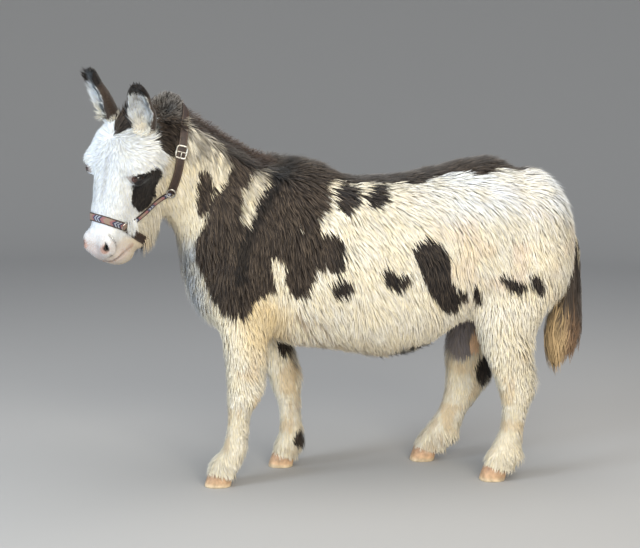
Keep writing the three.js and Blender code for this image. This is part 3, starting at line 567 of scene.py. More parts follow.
def settle(field, points, rounds=3, most=4.0):
    """Moves points along the slope on to the surface, at most so far in each round."""
    for _ in range(rounds):
        g = slope(field, points)
        move = -field(points)[:, None] * g / np.maximum(dot(g, g), 0.05)[:, None]
        size = np.linalg.norm(move, axis=1, keepdims=True)
        points = points + move * np.minimum(1, most / np.maximum(size, 1e-9))
    return points


# ---- meshing the skin
# The lattice around the head, drawn close along X, and around the body.
HEAD_X, HEAD_Y, HEAD_Z = (-672.0, -402.0), (-294.0, 50.0), (606.0, 1152.0)
BODY_X, BODY_Y, BODY_Z = (-330.0, 764.0), (-216.0, 216.0), (12.0, 1080.0)
HEAD_STEP, BODY_STEP = 3.3, 12.9
LATTICE_Y, LATTICE_Z = 104, 166


def bent_lattice():
    """A lattice whose Y and Z lines draw together around the head and spread over the body."""
    n = int((HEAD_X[1] - HEAD_X[0]) / HEAD_STEP)
    head = np.linspace(*HEAD_X, n, endpoint=False)
    between = np.linspace(HEAD_X[1], BODY_X[0], 14, endpoint=False)
    xs = np.concatenate([head, between, np.linspace(*BODY_X, int((BODY_X[1] - BODY_X[0]) / BODY_STEP))])
    s = ramp(xs, HEAD_X[1], BODY_X[0])[:, None]
    ys = np.linspace(*HEAD_Y, LATTICE_Y) * (1 - s) + np.linspace(*BODY_Y, LATTICE_Y) * s
    zs = np.linspace(*HEAD_Z, LATTICE_Z) * (1 - s) + np.linspace(*BODY_Z, LATTICE_Z) * s
    return xs, ys, zs


def lattice_points(xs, ys, zs, index):
    return columns(xs[index[0]], ys[index[0], index[1]], zs[index[0], index[2]])


def sampled(field, xs, ys, zs):
    """The field at each lattice point: roughly at every fourth one, then truly near the surface."""
    shape = (len(xs), ys.shape[1], zs.shape[1])
    coarse_at = [np.unique(np.append(np.arange(0, n, 4), n - 1)) for n in shape]
    grid = np.meshgrid(*coarse_at, indexing="ij")
    rough = field(lattice_points(xs, ys, zs, [g.ravel() for g in grid])).reshape(grid[0].shape)
    near = [np.minimum(np.arange(n) // 4, len(c) - 2) for n, c in zip(shape, coarse_at)]
    low = np.full(tuple(len(c) - 1 for c in coarse_at), np.inf)
    high = -low
    for corner in np.ndindex(2, 2, 2):
        part = rough[tuple(slice(c, c + m) for c, m in zip(corner, low.shape))]
        low = np.minimum(low, part)
        high = np.maximum(high, part)
    open_block = (low < 26) & (high > -26)
    grown = open_block.copy()
    for axis in range(3):
        grown |= np.roll(open_block, 1, axis) | np.roll(open_block, -1, axis)
    values = np.where(low > 0, 50.0, -50.0)[np.ix_(*near)]
    index = np.nonzero(grown[np.ix_(*near)])
    chunks = np.array_split(lattice_points(xs, ys, zs, index), 12)
    values[index] = np.concatenate([field(chunk) for chunk in chunks])
    return values


def surface_net(xs, ys, zs, values):
    """One vertex in each cell that the surface crosses, at the mean of its edge crossings, and
    one quad around each lattice edge that it crosses."""
    inside = values < 0
    cells, spots, quads = [], [], []
    for axis in range(3):
        low = [slice(1, -1)] * 3
        low[axis] = slice(0, -1)
        high = list(low)
        high[axis] = slice(1, None)
        cross = np.nonzero(inside[tuple(low)] != inside[tuple(high)])
        start = np.array([c + (0 if a == axis else 1) for a, c in enumerate(cross)])
        end = start.copy()
        end[axis] += 1
        v0 = values[tuple(start)]
        t = (v0 / (v0 - values[tuple(end)]))[:, None]
        spot = lattice_points(xs, ys, zs, start) * (1 - t) + lattice_points(xs, ys, zs, end) * t
        around = []
        for du, dw in ((-1, -1), (0, -1), (0, 0), (-1, 0)):
            cell = start.copy()
            cell[(axis + 1) % 3] += du
            cell[(axis + 2) % 3] += dw
            around.append(np.ravel_multi_index(cell, values.shape))
            spots.append(spot)
        cells += around
        quad = np.stack(around, axis=1)
        flip = v0 >= 0
        quad[flip] = quad[flip][:, ::-1]
        quads.append(quad)
    spots = np.concatenate(spots)
    used, vertex = np.unique(np.concatenate(cells), return_inverse=True)
    count = np.bincount(vertex)
    points = np.stack([np.bincount(vertex, spots[:, a]) / count for a in range(3)], axis=-1)
    return points, np.searchsorted(used, np.concatenate(quads))


# ---- colours
def linear(colour):
    """sRGB 0 to 255 to linear 0 to 1."""
    c = np.array(colour, float) / 255
    return np.where(c <= 0.04045, c / 12.92, ((c + 0.055) / 1.055) ** 2.4)


IVORY, CREAM, SNOW = map(linear, ((244, 238, 224), (236, 220, 186), (238, 243, 249)))
SAND, UMBER, SOOT = map(linear, ((216, 188, 148), (43, 36, 32), (28, 25, 26)))
FROST, PINK, GREY = map(linear, ((122, 106, 90), (196, 148, 130), (128, 124, 124)))
DUN, MANE_BROWN, PEACH = map(linear, ((124, 112, 102), (58, 38, 30), (222, 186, 158)))
GOLD, EARTH, ROSE = map(linear, ((228, 198, 144), (132, 104, 78), (232, 206, 184)))
ASH, SLATE, NOSE = map(linear, ((196, 196, 200), (150, 160, 174), (190, 182, 182)))
LIP = linear((186, 142, 118))

# Markings on the left side. Outlines in the side view, (x, z): the dark mass over the shoulder,
# the patch on the neck, and spots along the barrel.
MASS_LEFT = [
    (-140, 930), (-60, 940), (12, 900), (10, 800), (-20, 750), (-32, 712), (20, 708), (46, 645), (38, 602),
    (-30, 612), (-44, 580), (-66, 534), (-102, 542), (-126, 600), (-127, 640), (-157, 643), (-146, 556),
    (-178, 538), (-200, 512), (-228, 458), (-258, 476), (-290, 498), (-312, 522), (-328, 570), (-352, 624),
    (-358, 680), (-345, 722), (-324, 762), (-312, 812), (-292, 822), (-262, 880), (-240, 900),
]
NECK_LEFT = [(-350, 876), (-330, 884), (-314, 868), (-308, 824), (-326, 758), (-350, 752), (-360, 795)]
MANE_LEFT = [(-292, 1000), (-274, 908), (-242, 876), (-206, 872), (-176, 858), (-158, 882), (-130, 900),
             (-118, 960)]
WEDGE_LEFT = [(-200, 872), (-230, 834), (-243, 760), (-230, 728), (-208, 746), (-198, 776), (-176, 824),
              (-160, 846), (-150, 872), (-165, 890)]
SPOTS_LEFT = [
    [(48, 846), (98, 836), (92, 802), (54, 760), (20, 778), (26, 822)],
    [(124, 840), (168, 842), (162, 794), (140, 774), (102, 782), (108, 814)],
    [(136, 606), (156, 624), (178, 604), (218, 600), (222, 578), (188, 555), (148, 572)],
    [(230, 688), (262, 696), (298, 688), (323, 657), (330, 596), (350, 560), (378, 558),
     (386, 530), (352, 490),
     (312, 503), (264, 558), (240, 620), (224, 664)],
    [(-2, 578), (26, 590), (58, 580), (64, 562), (40, 538), (8, 540)],
]
# Strokes from point to point: (x, z, x, z, radius, radius, strength).
DARK_LEFT = [
    (404, 552, 428, 514, 18, 15, 0.62), (488, 586, 534, 558, 16, 21, 0.85),
    (572, 584, 592, 546, 19, 17, 0.95),
    (372, 838, 390, 818, 6, 5, 0.3), (560, 838, 564, 834, 7, 6, 0.4),
]
LIGHT_LEFT = [
    (-150, 638, -128, 630, 8, 9, 1), (-130, 624, -128, 556, 8, 7, 1), (-82, 750, -80, 722, 5, 5, 0.7),
    (-60, 704, -48, 676, 5, 5, 0.6),
]
# Markings on the right side, of like size and spread.
DARK_RIGHT = [
    (-70, 880, -60, 740, 84, 66, 1), (-175, 720, -220, 600, 120, 84, 1), (-285, 860, -300, 700, 40, 50, 1),
    (-60, 640, -30, 580, 52, 40, 1), (60, 700, 110, 660, 30, 26, 1), (150, 800, 190, 770, 30, 34, 1),
    (230, 640, 250, 560, 38, 24, 1), (330, 740, 370, 690, 34, 30, 1), (440, 610, 470, 560, 30, 22, 1),
    (530, 690, 540, 640, 22, 24, 0.9), (100, 540, 130, 536, 18, 16, 0.9),
]
LIGHT_RIGHT = [(-150, 830, -200, 760, 26, 18, 1), (-120, 600, -116, 560, 10, 8, 1)]
# Small dark places on the legs: middle, half size along x and z, strength and softness.
LEG_SPOTS = [
    ((-88, 40, 362), 30, 32, 0.95, 0.25), ((-60, 48, 322), 22, 36, 0.4, 0.4),
    ((-38, 56, 80), 25, 24, 0.95, 0.25),
    ((508, 76, 276), 28, 46, 0.95, 0.35), ((330, 130, 250), 16, 20, 0.5, 0.3),
]
# The dark line of the back: half width at stations along x.
DORSAL_X = [-160, 0, 60, 150, 215, 260, 345, 430, 470, 520, 565, 640]
DORSAL_HALF = [70, 96, 76, 74, 88, 100, 84, 116, 112, 72, 34, 6]


def polygon_distance(q, corners):
    """Distance to a closed outline in a plane, less than 0 inside it by the crossings to its right."""
    best = np.full(len(q), 1e9)
    inside = np.zeros(len(q), bool)
    for (x0, y0), (x1, y1) in zip(corners, corners[1:] + corners[:1]):
        ab = np.array([x1 - x0, y1 - y0], float)
        a = q - (x0, y0)
        t = np.clip(a @ ab / (ab @ ab), 0, 1)
        best = np.minimum(best, norm(a - t[:, None] * ab))
        spans = (y0 > q[:, 1]) != (y1 > q[:, 1])
        crossing = x0 + (q[:, 1] - y0) * (x1 - x0) / (y1 - y0 + 1e-9)
        inside ^= spans & (q[:, 0] < crossing)
    return np.where(inside, -best, best)


def strokes(points, marks, base):
    """Distance, less the base, to strokes in the side view, each of a radius that runs from one end's
    to the other's, joined smoothly; each stroke counts by its strength."""
    q = points[:, [0, 2]]
    for x0, z0, x1, z1, r0, r1, strength in marks:
        a = np.array([x0, z0], float)
        ab = np.array([x1, z1], float) - a
        t = np.clip((q - a) @ ab / max(ab @ ab, 1e-6), 0, 1)
        d = norm(q - a - t[:, None] * ab) - (r0 + (r1 - r0) * t)
        base = smooth_min(base, d + 14 * (1 - strength), 10)
    return base


def body_dark(points):
    """Share of dark hair over trunk and neck, from 0 to 1, with edges broken by noise."""
    x, y, z = points.T
    wobble = points + 9 * noise_vectors(points, 34, 1)
    near = points + 0.45 * (wobble - points)
    far = np.full(len(points), 90.0)
    q = near[:, [0, 2]]
    left = polygon_distance(q, MASS_LEFT)
    for patch in (NECK_LEFT, MANE_LEFT):
        left = smooth_min(left, polygon_distance(q, patch), 4)
    wedge = polygon_distance(q, WEDGE_LEFT)
    left = smooth_max(left, -wedge, 6)
    for spot in SPOTS_LEFT:
        left = smooth_min(left, polygon_distance(q, spot), 4)
    left = smooth_max(strokes(near, DARK_LEFT, left), -strokes(near, LIGHT_LEFT, far), 6)
    right = smooth_max(strokes(wobble, DARK_RIGHT, far), -strokes(wobble, LIGHT_RIGHT, far), 8)
    on_top = ramp(z, 700, 800)
    line = np.abs(wobble[:, 1]) - np.interp(wobble[:, 0], DORSAL_X, DORSAL_HALF) * on_top
    line = line + 60 * (1 - on_top) + 90 * ramp(x, -120, -150)
    d = smooth_min(np.where(y < 0, left, right), line, 12)
    ragged = 4 * noise(points, 9, 4) + 3 * noise(points, 4, 5)
    soft = 4 + 8 * ramp(x, -180, -240) * ramp(z, 600, 700) + 9 * ramp(x, 392, 420) * ramp(z, 700, 640)
    mottled = 0.5 * ramp(wedge + 3 * ragged, -22, -2) * ramp(wedge, 8, 4) * (y < 0)
    return np.maximum(ramp(d + ragged, soft, -soft), mottled)


# The dark patch behind and below each eye: (front, down).
CHEEK_LEFT = [
    (-33, 22), (-32, 4), (-42, -12), (-50, -24), (-72, -33), (-90, -35), (-110, -27), (-121, -14), (-132, 12),
    (-143, 46), (-141, 70), (-124, 84), (-100, 91), (-80, 82), (-64, 73), (-56, 56), (-48, 38),
]
CHEEK_RIGHT = [(-38, 6), (-44, -20), (-78, -22), (-106, 6), (-104, 44), (-72, 60), (-44, 34)]


def head_colour(points):
    """Light and dark colours of the head's hair, and the share of the dark. The light colour holds
    painted light: cooler white on the head's right side and warmer white on its left.
    """
    side, front, down = head_place(points)
    aside = np.abs(side)
    n = noise(points, 30, 11)
    # painted light: cooler white on the right side of the face, warmer on the left, as the light falls
    light = blend(tiled(SNOW, points), IVORY, 0.35 * ramp(side + 26 * n, 0, 60))
    light = light * (1 - 0.1 * ramp(noise(points, 11, 16), 0, 0.8))[:, None]
    jaw = ramp(front + 10 * n, -138, -168) * ramp(down, 10, 60) * ramp(down, 230, 190)
    mottle = ramp(noise(points, 13, 14) + 0.4 * noise(points, 5, 15), 0.1, 0.7) * ramp(down, 150, 175)
    below = ramp(down + 0.5 * (-60 - front) + 6 * n, 168, 200) * ramp(down, 140, 160)
    light = blend(
        light,
        mix(IVORY, CREAM, 0.45), ramp(front + 8 * n, -96, -130) * ramp(down, -110, -40),
        mix(SAND, IVORY, 0.8), 0.6 * jaw * ramp(noise(points, 9, 18), -0.6, 0.2),
        GREY * 1.3, 0.28 * ramp(aside, 13, 3) * ramp(down, -60, -10) * ramp(down, 110, 60),
        mix(DUN, PEACH, 0.5), 0.35 * mottle,
        mix(CREAM, PEACH, 0.3), 0.75 * below * ramp(front, -40, -70),
    )
    light = light * (1 - 0.16 * ramp(down, 160, 200))[:, None]
    light = blend(light, NOSE, 0.55 * ramp(aside, 34, 16) * ramp(down, 190, 212) * ramp(front, -84, -50))
    for sign in (1, -1):
        pink = far_from(points, on_head(sign * 33, -25, 210)) + 3 * n
        lips = polyline_distance(points, beside(sign, MOUTH)) + 6 * noise(points, 9, 17)
        light = blend(light, linear((208, 160, 138)), 0.85 * ramp(pink, 15, 7), LIP, 0.6 * ramp(lips, 14, 4))

    ragged = 5 * noise(points, 12, 12) + 3 * noise(points, 5, 13)
    q = columns(front, down)
    patch = np.where(side > 0, polygon_distance(q, CHEEK_LEFT), polygon_distance(q, CHEEK_RIGHT))
    dark = ramp(patch + 0.6 * ragged, 4, -4)
    for eye in EYES.values():
        a, b, c = eye.local(points)
        ring = np.where(b > 0, np.hypot(a / 24, b / 10), np.hypot(a / 27, b / 24)) + 0.02 * ragged
        dark = np.maximum(dark, ramp(ring, 1.15, 0.95) * ramp(a, -17, -10) * (c > 0))
        light = blend(light, linear((150, 128, 114)), 0.7 * ramp(np.hypot(a + 21, b), 15, 8) * (c > 0))
    poll = ramp(down + 0.9 * aside - 0.25 * front + ragged, -80, -100)
    behind = ramp(down + 0.35 * front + ragged, -104, -124) * ramp(front, -60, -90)
    under = ramp(far_from(points, on_head(58, -212, 118)) + ragged, 20, 12)
    dark = np.maximum.reduce([dark, poll, behind, under])
    return light, blend(tiled(SOOT, points), UMBER, ramp(down, -40, -80)), dark


def mix(a, b, t):
    return a * (1 - t) + b * t


def tiled(colour, points):
    return np.tile(colour, (len(points), 1))


def far_from(points, place):
    return norm(points - place)


def blend(base, *steps):
    """Rows of colours moved towards each colour that follows, by the share of each row after it."""
    for colour, share in zip(steps[::2], steps[1::2]):
        base = base * (1 - share[:, None]) + colour * share[:, None]
    return base


def coat_colour(points, weights):
    """Light and dark colours of the hair at each point, and the share of the dark. The light colours
    hold painted light and shade: a cool white highlight on top of the back, bluish shade on the front
    of the chest, and darker brown streaks of shade behind the elbow and under the belly.
    """
    x, y, z = points.T
    n = noise(points, 60, 21)
    fine = noise(points, 14, 22)
    rosy = noise(points, 48, 24)
    strand = noise(points * np.array([1, 1, 0.22]), 8, 26)
    belly = ramp(z + 10 * n, 430, 360) * ramp(x, -120, -40) * ramp(x, 430, 380)
    light = blend(
        tiled(mix(IVORY, CREAM, 0.25), points),
        ROSE, 0.5 * ramp(rosy, 0.1, 0.6) * ramp(x, 150, 420) * ramp(z, 480, 560),
        ASH, 0.4 * ramp(rosy, -0.35, -0.65) * ramp(x, 150, 380) * ramp(z, 560, 640),
        # painted highlight: cool white on the top of the back, where the light from above falls
        SNOW, 0.8 * ramp(z + 30 * n, 700, 800) * ramp(x, 180, 380),
        CREAM, 0.45 * ramp(x + 12 * n, -60, -200) * ramp(z, 980, 900) * ramp(z, 330, 480),
        GOLD, 0.75 * ramp(np.hypot(x + 172, 0.8 * (z - 455)) + 18 * n, 100, 40),
        # painted shade: darker brown streaks behind the elbow, where the fore leg meets the body
        EARTH, 0.7 * ramp(np.hypot(0.7 * (x + 70), z - 415) + 12 * n, 95, 40) * ramp(strand, 0.0, 0.5),
        # painted cool shade: bluish grey on the front of the chest
        SLATE, 0.8 * ramp(x + 8 * n, -300, -350) * ramp(z, 740, 640),
        mix(IVORY, CREAM, 0.35), 0.6 * ramp(z, 420, 300),
        # painted shade: darker brown streaks under the belly
        mix(SAND, EARTH, 0.35), 0.5 * belly * ramp(strand, -0.3, 0.4),
        CREAM, 0.4 * ramp(n + 0.8 * noise(points, 26, 23) + 0.25, -0.5, 0.9),
        SAND, 0.5 * ramp(noise(points, 40, 25) + 0.3 * strand, 0.15, 0.6)
        * ramp(z, 440, 330) * ramp(z, 60, 110),
    ) * (1 + 0.04 * n + 0.04 * fine)[:, None]

    strip = ramp(polygon_distance(points[:, [0, 2]], WEDGE_LEFT), 8, -8) * (y < 0)
    upper = ramp(z + 0.25 * (x + 330) + 22 * n, 862, 925) * ramp(weights[:, 1], 0.2, 0.6)
    thigh = np.sqrt(((x - 432) / 62) ** 2 + ((y - 70) / 75) ** 2 + ((z - 385) / 78) ** 2) + 0.08 * n
    thigh = thigh + 2 * ramp(weights[:, 4], 0.6, 0.3)
    udder = ramp(np.hypot((x - 470) / 17, (z - 362) / 34) + 0.2 * fine, 1.1, 0.8)
    light = blend(
        light,
        linear((150, 142, 126)), 0.6 * strip * ramp(strand, -0.4, 0.3),
        linear((128, 122, 114)), 0.85 * upper * ramp(strand, -0.6, 0.1),
        linear((136, 129, 130)), ramp(thigh, 1.12, 0.9),
        linear((250, 208, 168)), 0.85 * udder * ramp(thigh, 1.3, 1.0),
    )
    mane = ramp(crest(points) + 0.12 * fine, 0.1, 0.35) * ramp(x, -130, -170)
    nape = np.hypot((x - CROWN[0]) / 50, (z - CROWN[2] + 42) / 92) + 0.1 * fine
    dark = np.maximum.reduce([body_dark(points), mane, ramp(nape, 1.1, 0.92)])
    for centre, across_x, across_z, strength, soft in LEG_SPOTS:
        spot = norm((points - centre) / (across_x, 40, across_z)) + 0.15 * fine
        dark = np.maximum(dark, strength * ramp(spot, 1 + soft, 1 - soft))
    streak = polyline_distance(points[:, [0, 2]], CROSS) - 16
    deep = blend(tiled(UMBER, points), MANE_BROWN, mane * ramp(z, 850, 900),
                 SOOT, 0.8 * ramp(x, 4, 24) * ramp(z, 852, 836),
                 0.45 * SOOT, 0.9 * ramp(streak + 5 * fine, 8, -8))

    share = ramp(weights[:, 2], 0.35, 0.65)
    head_light, head_deep, head_dark = head_colour(points)
    return (mix(light, head_light, share[:, None]), mix(deep, head_deep, share[:, None]),
            mix(dark, head_dark, share))


# The darker stroke from the withers down the shoulder, in the side view.
CROSS = np.array([[-100, 895], [-148, 838], [-186, 780], [-232, 666], [-238, 590]], float)


def ear_colour(points, name):
    """Hair of an ear: dark outside and at the tip, paler at the base, white within."""
    shell, hollow = EAR_LOFTS[name]
    along = shell.local(points)[0] / np.linalg.norm(on_head(*EARS[name][1]) - on_head(*EARS[name][0]))
    fine = 0.05 * noise(points, 8, 31)
    inner = ramp(hollow(points), 4.5, 1.5)
    light = blend(tiled(IVORY, points), SNOW, inner * ramp(along, 0.1, 0.3),
                  DUN, 0.5 * inner * ramp(noise(points, 9, 32), 0.2, 0.6))
    start = {"left": 0.68, "right": 0.5}[name]
    tip = ramp(along + fine, start, start + 0.08)
    deep = blend(tiled(mix(UMBER, MANE_BROWN, 0.5), points), SOOT, np.maximum(tip, inner))
    return light, deep, np.maximum(0.95 * (1 - inner) * ramp(along + fine, -0.02, 0.12), tip)


# ---- meshes and materials
def new_mesh(name, points, faces):
    """A smooth mesh object from points in the donkey's own space and rows of triangles or quads."""
    mesh = bpy.data.meshes.new(name)
    faces = np.asarray(faces, np.int32)
    count, corners = faces.shape
    mesh.vertices.add(len(points))
    mesh.vertices.foreach_set("co", to_frame(points).astype(np.float32).ravel())
    mesh.loops.add(count * corners)
    mesh.loops.foreach_set("vertex_index", faces.ravel())
    mesh.polygons.add(count)
    mesh.polygons.foreach_set("loop_start", np.arange(0, count * corners, corners, dtype=np.int32))
    mesh.update(calc_edges=True)
    mesh.polygons.foreach_set("use_smooth", np.full(count, True))
    piece = bpy.data.objects.new(name, mesh)
    bpy.context.scene.collection.objects.link(piece)
    return piece


def set_colour(piece, colours):
    """A colour for each vertex, kept as an attribute."""
    layer = piece.data.color_attributes.new(ATTRIBUTE, "FLOAT_COLOR", "POINT")
    full = np.ones((len(colours), 4), np.float32)
    full[:, :3] = np.clip(colours, 0, 1)
    layer.data.foreach_set("color", full.ravel())


def set_uv(piece, name, uv):
    """A map from one place for each vertex."""
    layer = piece.data.uv_layers.new(name=name)
    corner = np.empty(len(piece.data.loops), np.int32)
    piece.data.loops.foreach_get("vertex_index", corner)
    layer.data.foreach_set("uv", uv[corner].astype(np.float32).ravel())


def finish_piece(piece, material, slot, *nodes):
    """Gives a piece its material and its body, and hides the nodes that it stands for. slot is not used."""
    piece.data.materials.append(material)
    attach(piece, "root")
    if nodes:
        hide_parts(*nodes)
    return piece


def grid_faces(rows, columns, looped=False):
    """Quads of a grid of vertices, closed around its columns, and along its rows if looped."""
    r = np.arange(rows if looped else rows - 1)[:, None]
    c = np.arange(columns)
    after = (c + 1) % columns
    below = (r + 1) % rows * columns
    corners = (r * columns + c, r * columns + after, below + after, below + c)
    return np.stack(corners, axis=-1).reshape(-1, 4)


def split_quads(quads):
    return np.concatenate([quads[:, [0, 1, 2]], quads[:, [0, 2, 3]]])


def feed(tree, socket, value):
    """Sets an input to a value, or links another node's output to it."""
    if isinstance(value, bpy.types.NodeSocket):
        tree.links.new(value, socket)
    else:
        socket.default_value = value


def node(tree, kind, settings=(), **inputs):
    """A node with its settings, and its inputs by name, spaces written as underscores."""
    made = tree.nodes.new("ShaderNode" + kind)
    for name, value in settings:
        setattr(made, name, value)
    for name, value in inputs.items():
        feed(tree, made.inputs[name.replace("_", " ")], value)
    return made


def sums(tree, operation, *values):
    """The result of a Math node."""
    made = node(tree, "Math", [("operation", operation)])
    for socket, value in zip(made.inputs, values):
        feed(tree, socket, value)
    return made.outputs[0]


def mixed(tree, a, b, factor=1.0, how="MULTIPLY"):
    """The result of a Mix node for colours."""
    made = node(tree, "Mix", [("data_type", "RGBA"), ("blend_type", how)], Factor=factor, A=a, B=b)
    return made.outputs["Result"]


def scaled(tree, value, **ends):
    """The result of a Map Range node."""
    return node(tree, "MapRange", Value=value, **ends).outputs["Result"]


def speckle(tree, place, scale, detail):
    """The numbers of a noise texture."""
    return node(tree, "TexNoise", Vector=place, Scale=scale, Detail=detail).outputs["Fac"]


def stretched(tree, place, along):
    """Places drawn out along the height, so that grain and strands run up and down."""
    return node(tree, "Mapping", Vector=place, Scale=(1.0, 1.0, along)).outputs["Vector"]


def tones(tree, share, stops):
    """The colours of a colour ramp, from (place, colour) in order."""
    made = node(tree, "ValToRGB", Fac=share)
    elements = made.color_ramp.elements
    for spot, _ in stops[1:-1]:
        elements.new(spot)
    for element, (spot, colour) in zip(elements, stops):
        element.position = spot
        element.color = (*linear(colour), 1)
    return made.outputs["Color"]


def new_group(name, inputs, outputs):
    """An empty node group: its tree, what it is given by name and what it puts out by name."""
    tree = bpy.data.node_groups.new(name, "ShaderNodeTree")
    for way, labels in (("INPUT", inputs), ("OUTPUT", outputs)):
        for label in labels:
            kind = "NodeSocketColor" if label == "Colour" else "NodeSocketFloat"
            made = tree.interface.new_socket(label, in_out=way, socket_type=kind)
            if way == "INPUT":
                made.default_value = inputs[label]
    return tree, tree.nodes.new("NodeGroupInput").outputs, tree.nodes.new("NodeGroupOutput").inputs


def placed_group(tree, name, build, **inputs):
    """Places a group that is built once, and gives its outputs."""
    group = bpy.data.node_groups.get(name) or build(name)
    return node(tree, "Group", [("node_tree", group)], **inputs).outputs


def new_material(name, **constants):
    """A material and its tree, with constants on its shader."""
    material = bpy.data.materials.new(name)
    material.use_nodes = True
    tree = material.node_tree
    for key, value in constants.items():
        tree.nodes["Principled BSDF"].inputs[key.replace("_", " ")].default_value = value
    return material, tree


def places(tree):
    return node(tree, "TexCoord").outputs["Object"]


def paint(tree, colour, height=None, strength=0.0, distance=0.0):
    """Gives the shader its colour, and its relief from a height."""
    shader = tree.nodes["Principled BSDF"]
    tree.links.new(colour, shader.inputs["Base Color"])
    if height is not None:
        relief = node(tree, "Bump", Height=height, Strength=strength, Distance=distance)
        tree.links.new(relief.outputs["Normal"], shader.inputs["Normal"])


def vertex_colour(tree):
    return node(tree, "Attribute", [("attribute_name", ATTRIBUTE)]).outputs["Color"]


def strand_group(name):
    """Shared by skin and hair: takes a colour and gives it the fine streaks and flecks of hair."""
    inputs = {"Colour": (1, 1, 1, 1), "Scale": 240.0, "Strength": 0.25}
    tree, given, out = new_group(name, inputs, ("Colour", "Height"))
    place = places(tree)
    flecks = node(tree, "TexNoise", Vector=stretched(tree, place, 0.16), Scale=given["Scale"],
                  Detail=4.0, Roughness=0.65).outputs["Fac"]
    both = sums(tree, "MULTIPLY_ADD", speckle(tree, place, 22.0, 2.0), 0.5, flecks)
    low = sums(tree, "SUBTRACT", 1.0, given["Strength"])
    shade = scaled(tree, both, From_Min=0.3, From_Max=0.7, To_Min=low)
    feed(tree, out["Colour"], mixed(tree, given["Colour"], shade))
    feed(tree, out["Height"], flecks)
    return tree


def coat_material(name, roughness, scale, strength, relief, sheen):
    """Hair or skin: the vertex colours through the strand group, with fine bump and a soft sheen."""
    material, tree = new_material(name, Roughness=roughness, Specular_IOR_Level=0.18,
                                  Sheen_Weight=sheen, Sheen_Roughness=0.45)
    strands = placed_group(tree, "Strand variation", strand_group, Colour=vertex_colour(tree),
                           Scale=scale, Strength=strength)
    paint(tree, strands["Colour"], strands["Height"], relief, 0.0015)
    return material


# ---- the skin and what grows on it
ATTRIBUTE = "coat"
STORE = {}


def skin_surface():
    """The skin's vertices, quads, normals and what the hair needs to know at each vertex."""
    xs, ys, zs = bent_lattice()
    points, quads = surface_net(xs, ys, zs, sampled(skin_field, xs, ys, zs))
    points = settle(skin_field, points, 2, 1.2)
    parts = part_distances(points)
    body = outline_from(parts)
    ear = np.zeros(len(points), int)
    for number, (shell, _) in enumerate(EAR_LOFTS.values(), 1):
        ear = np.where((shell(points) < 4) & (body > -4) & (shell.local(points)[0] > -10), number, ear)
    dock = (DOCK(points) < 4) & (body > -6) & (points[:, 0] > 560)
    return SimpleNamespace(points=points, quads=quads, normals=unit(slope(skin_field, points, 1.2)),
                           weights=shares(parts), depth=np.maximum(-body, 1.0), ear=ear, dock=dock)


def skin_colours(skin):
    """The coat's markings on the skin, darker as the undercoat is, with bare places in skin colours, and
    painted shade inside the nostrils, in the grooves behind their wings and between the lips.
    """
    points = skin.points
    light, deep, dark = coat_colour(points + skin.normals * skin.depth[:, None], skin.weights)
    for here, name, *_ in each_ear(skin.ear):
        ear_light, deep[here], dark[here] = ear_colour(points[here], name)
        light[here] = mix(ear_light, DUN, 0.3)
    dark = np.where(skin.dock, 1, dark)
    side, front, down = head_place(points)
    on = skin.weights[:, 2] * (skin.ear == 0)
    colour = blend(
        blend(light, deep, dark) * 0.95,
        mix(PEACH, SNOW, 0.55) * 0.85, 0.8 * on * ramp(down, 160, 190) * ramp(front, -160, -90),
        linear((184, 166, 160)),
        0.7 * on * ramp(np.abs(side), 36, 16) * ramp(down, 186, 206) * ramp(front, -84, -50),
    )
    a, b, c = NOSTRIL
    # painted shade: dark in the grooves behind the nostrils' wings, inside the nostrils and in the groove
    # between the lips
    for sign in (1, -1):
        colour = blend(
            colour,
            PINK * 0.8, on * ramp(far_from(points, on_head(sign * (a - 5), b + 4, c + 7)), 19, 11) * 0.8,
            linear((96, 84, 76)), on * ramp(polyline_distance(points, beside(sign, WING)), 5.5, 2) * 0.8,
            SOOT * 0.5, on * ramp(far_from(points, on_head(sign * (a - 7), b - 5, c)), 12, 8),
            linear((88, 70, 62)), on * ramp(polyline_distance(points, beside(sign, MOUTH)), 6, 2) * 0.8,
        )
    for eye in EYES.values():
        a, b, c = eye.local(points)
        rim = np.hypot(a / 24, b / 13)
        colour = blend(colour, SOOT, ramp(rim, 1.3, 1.05) * ramp(c, 0, 6) * ramp(a, -24, -14))
    return colour


def flow_field(points, normals, weights):
    """Which way the hair lies: back and down the trunk, down the neck and legs, away from a whorl
    between the eyes on the face, and always along the skin."""
    x, _, z = points.T
    fall = np.radians(50 + 22 * ramp((z - 640) / 230, 0.9, 0.2) + 12 * ramp(x, 0, -140))
    trunk = columns(np.cos(fall), 0, -np.sin(fall))
    trunk = blend(trunk, np.array([0.1, 0, -1]), ramp(x, 560, 680))
    side, front, down = head_place(points)
    whorl = columns(side, 0.4 * front, down + 60)
    reach = np.linalg.norm(whorl, axis=1, keepdims=True)
    away = whorl / (reach + 26) @ HEAD_FRAME.T + 0.7 * ramp(reach, 62, 12) * (0.8 * SIDE - UP)
    lower = ramp(down, -10, 70)
    back = ramp(front, -50, -120)
    face = blend(away, -0.9 * UP, lower) - (FRONT * 0.55 + UP * 0.5) * back[:, None]
    face = face + SIDE * (np.sign(side) * 0.25 * lower * (1 - back))[:, None]
    face = unit(blend(face, np.array([-0.15, 0.05, -1.0]), ramp(front, -150, -185)))
    neck, leg = (tiled((ahead, 0, -1.0), points) for ahead in (0.22, 0.12))
    flow = np.einsum("np,npk->nk", weights, np.stack([trunk, neck, face, leg, leg], axis=1))
    swirl = 0.28 * noise_vectors(points, 70, 41) + 0.24 * noise_vectors(points, 22, 44)
    return across(unit(flow) + swirl, normals)


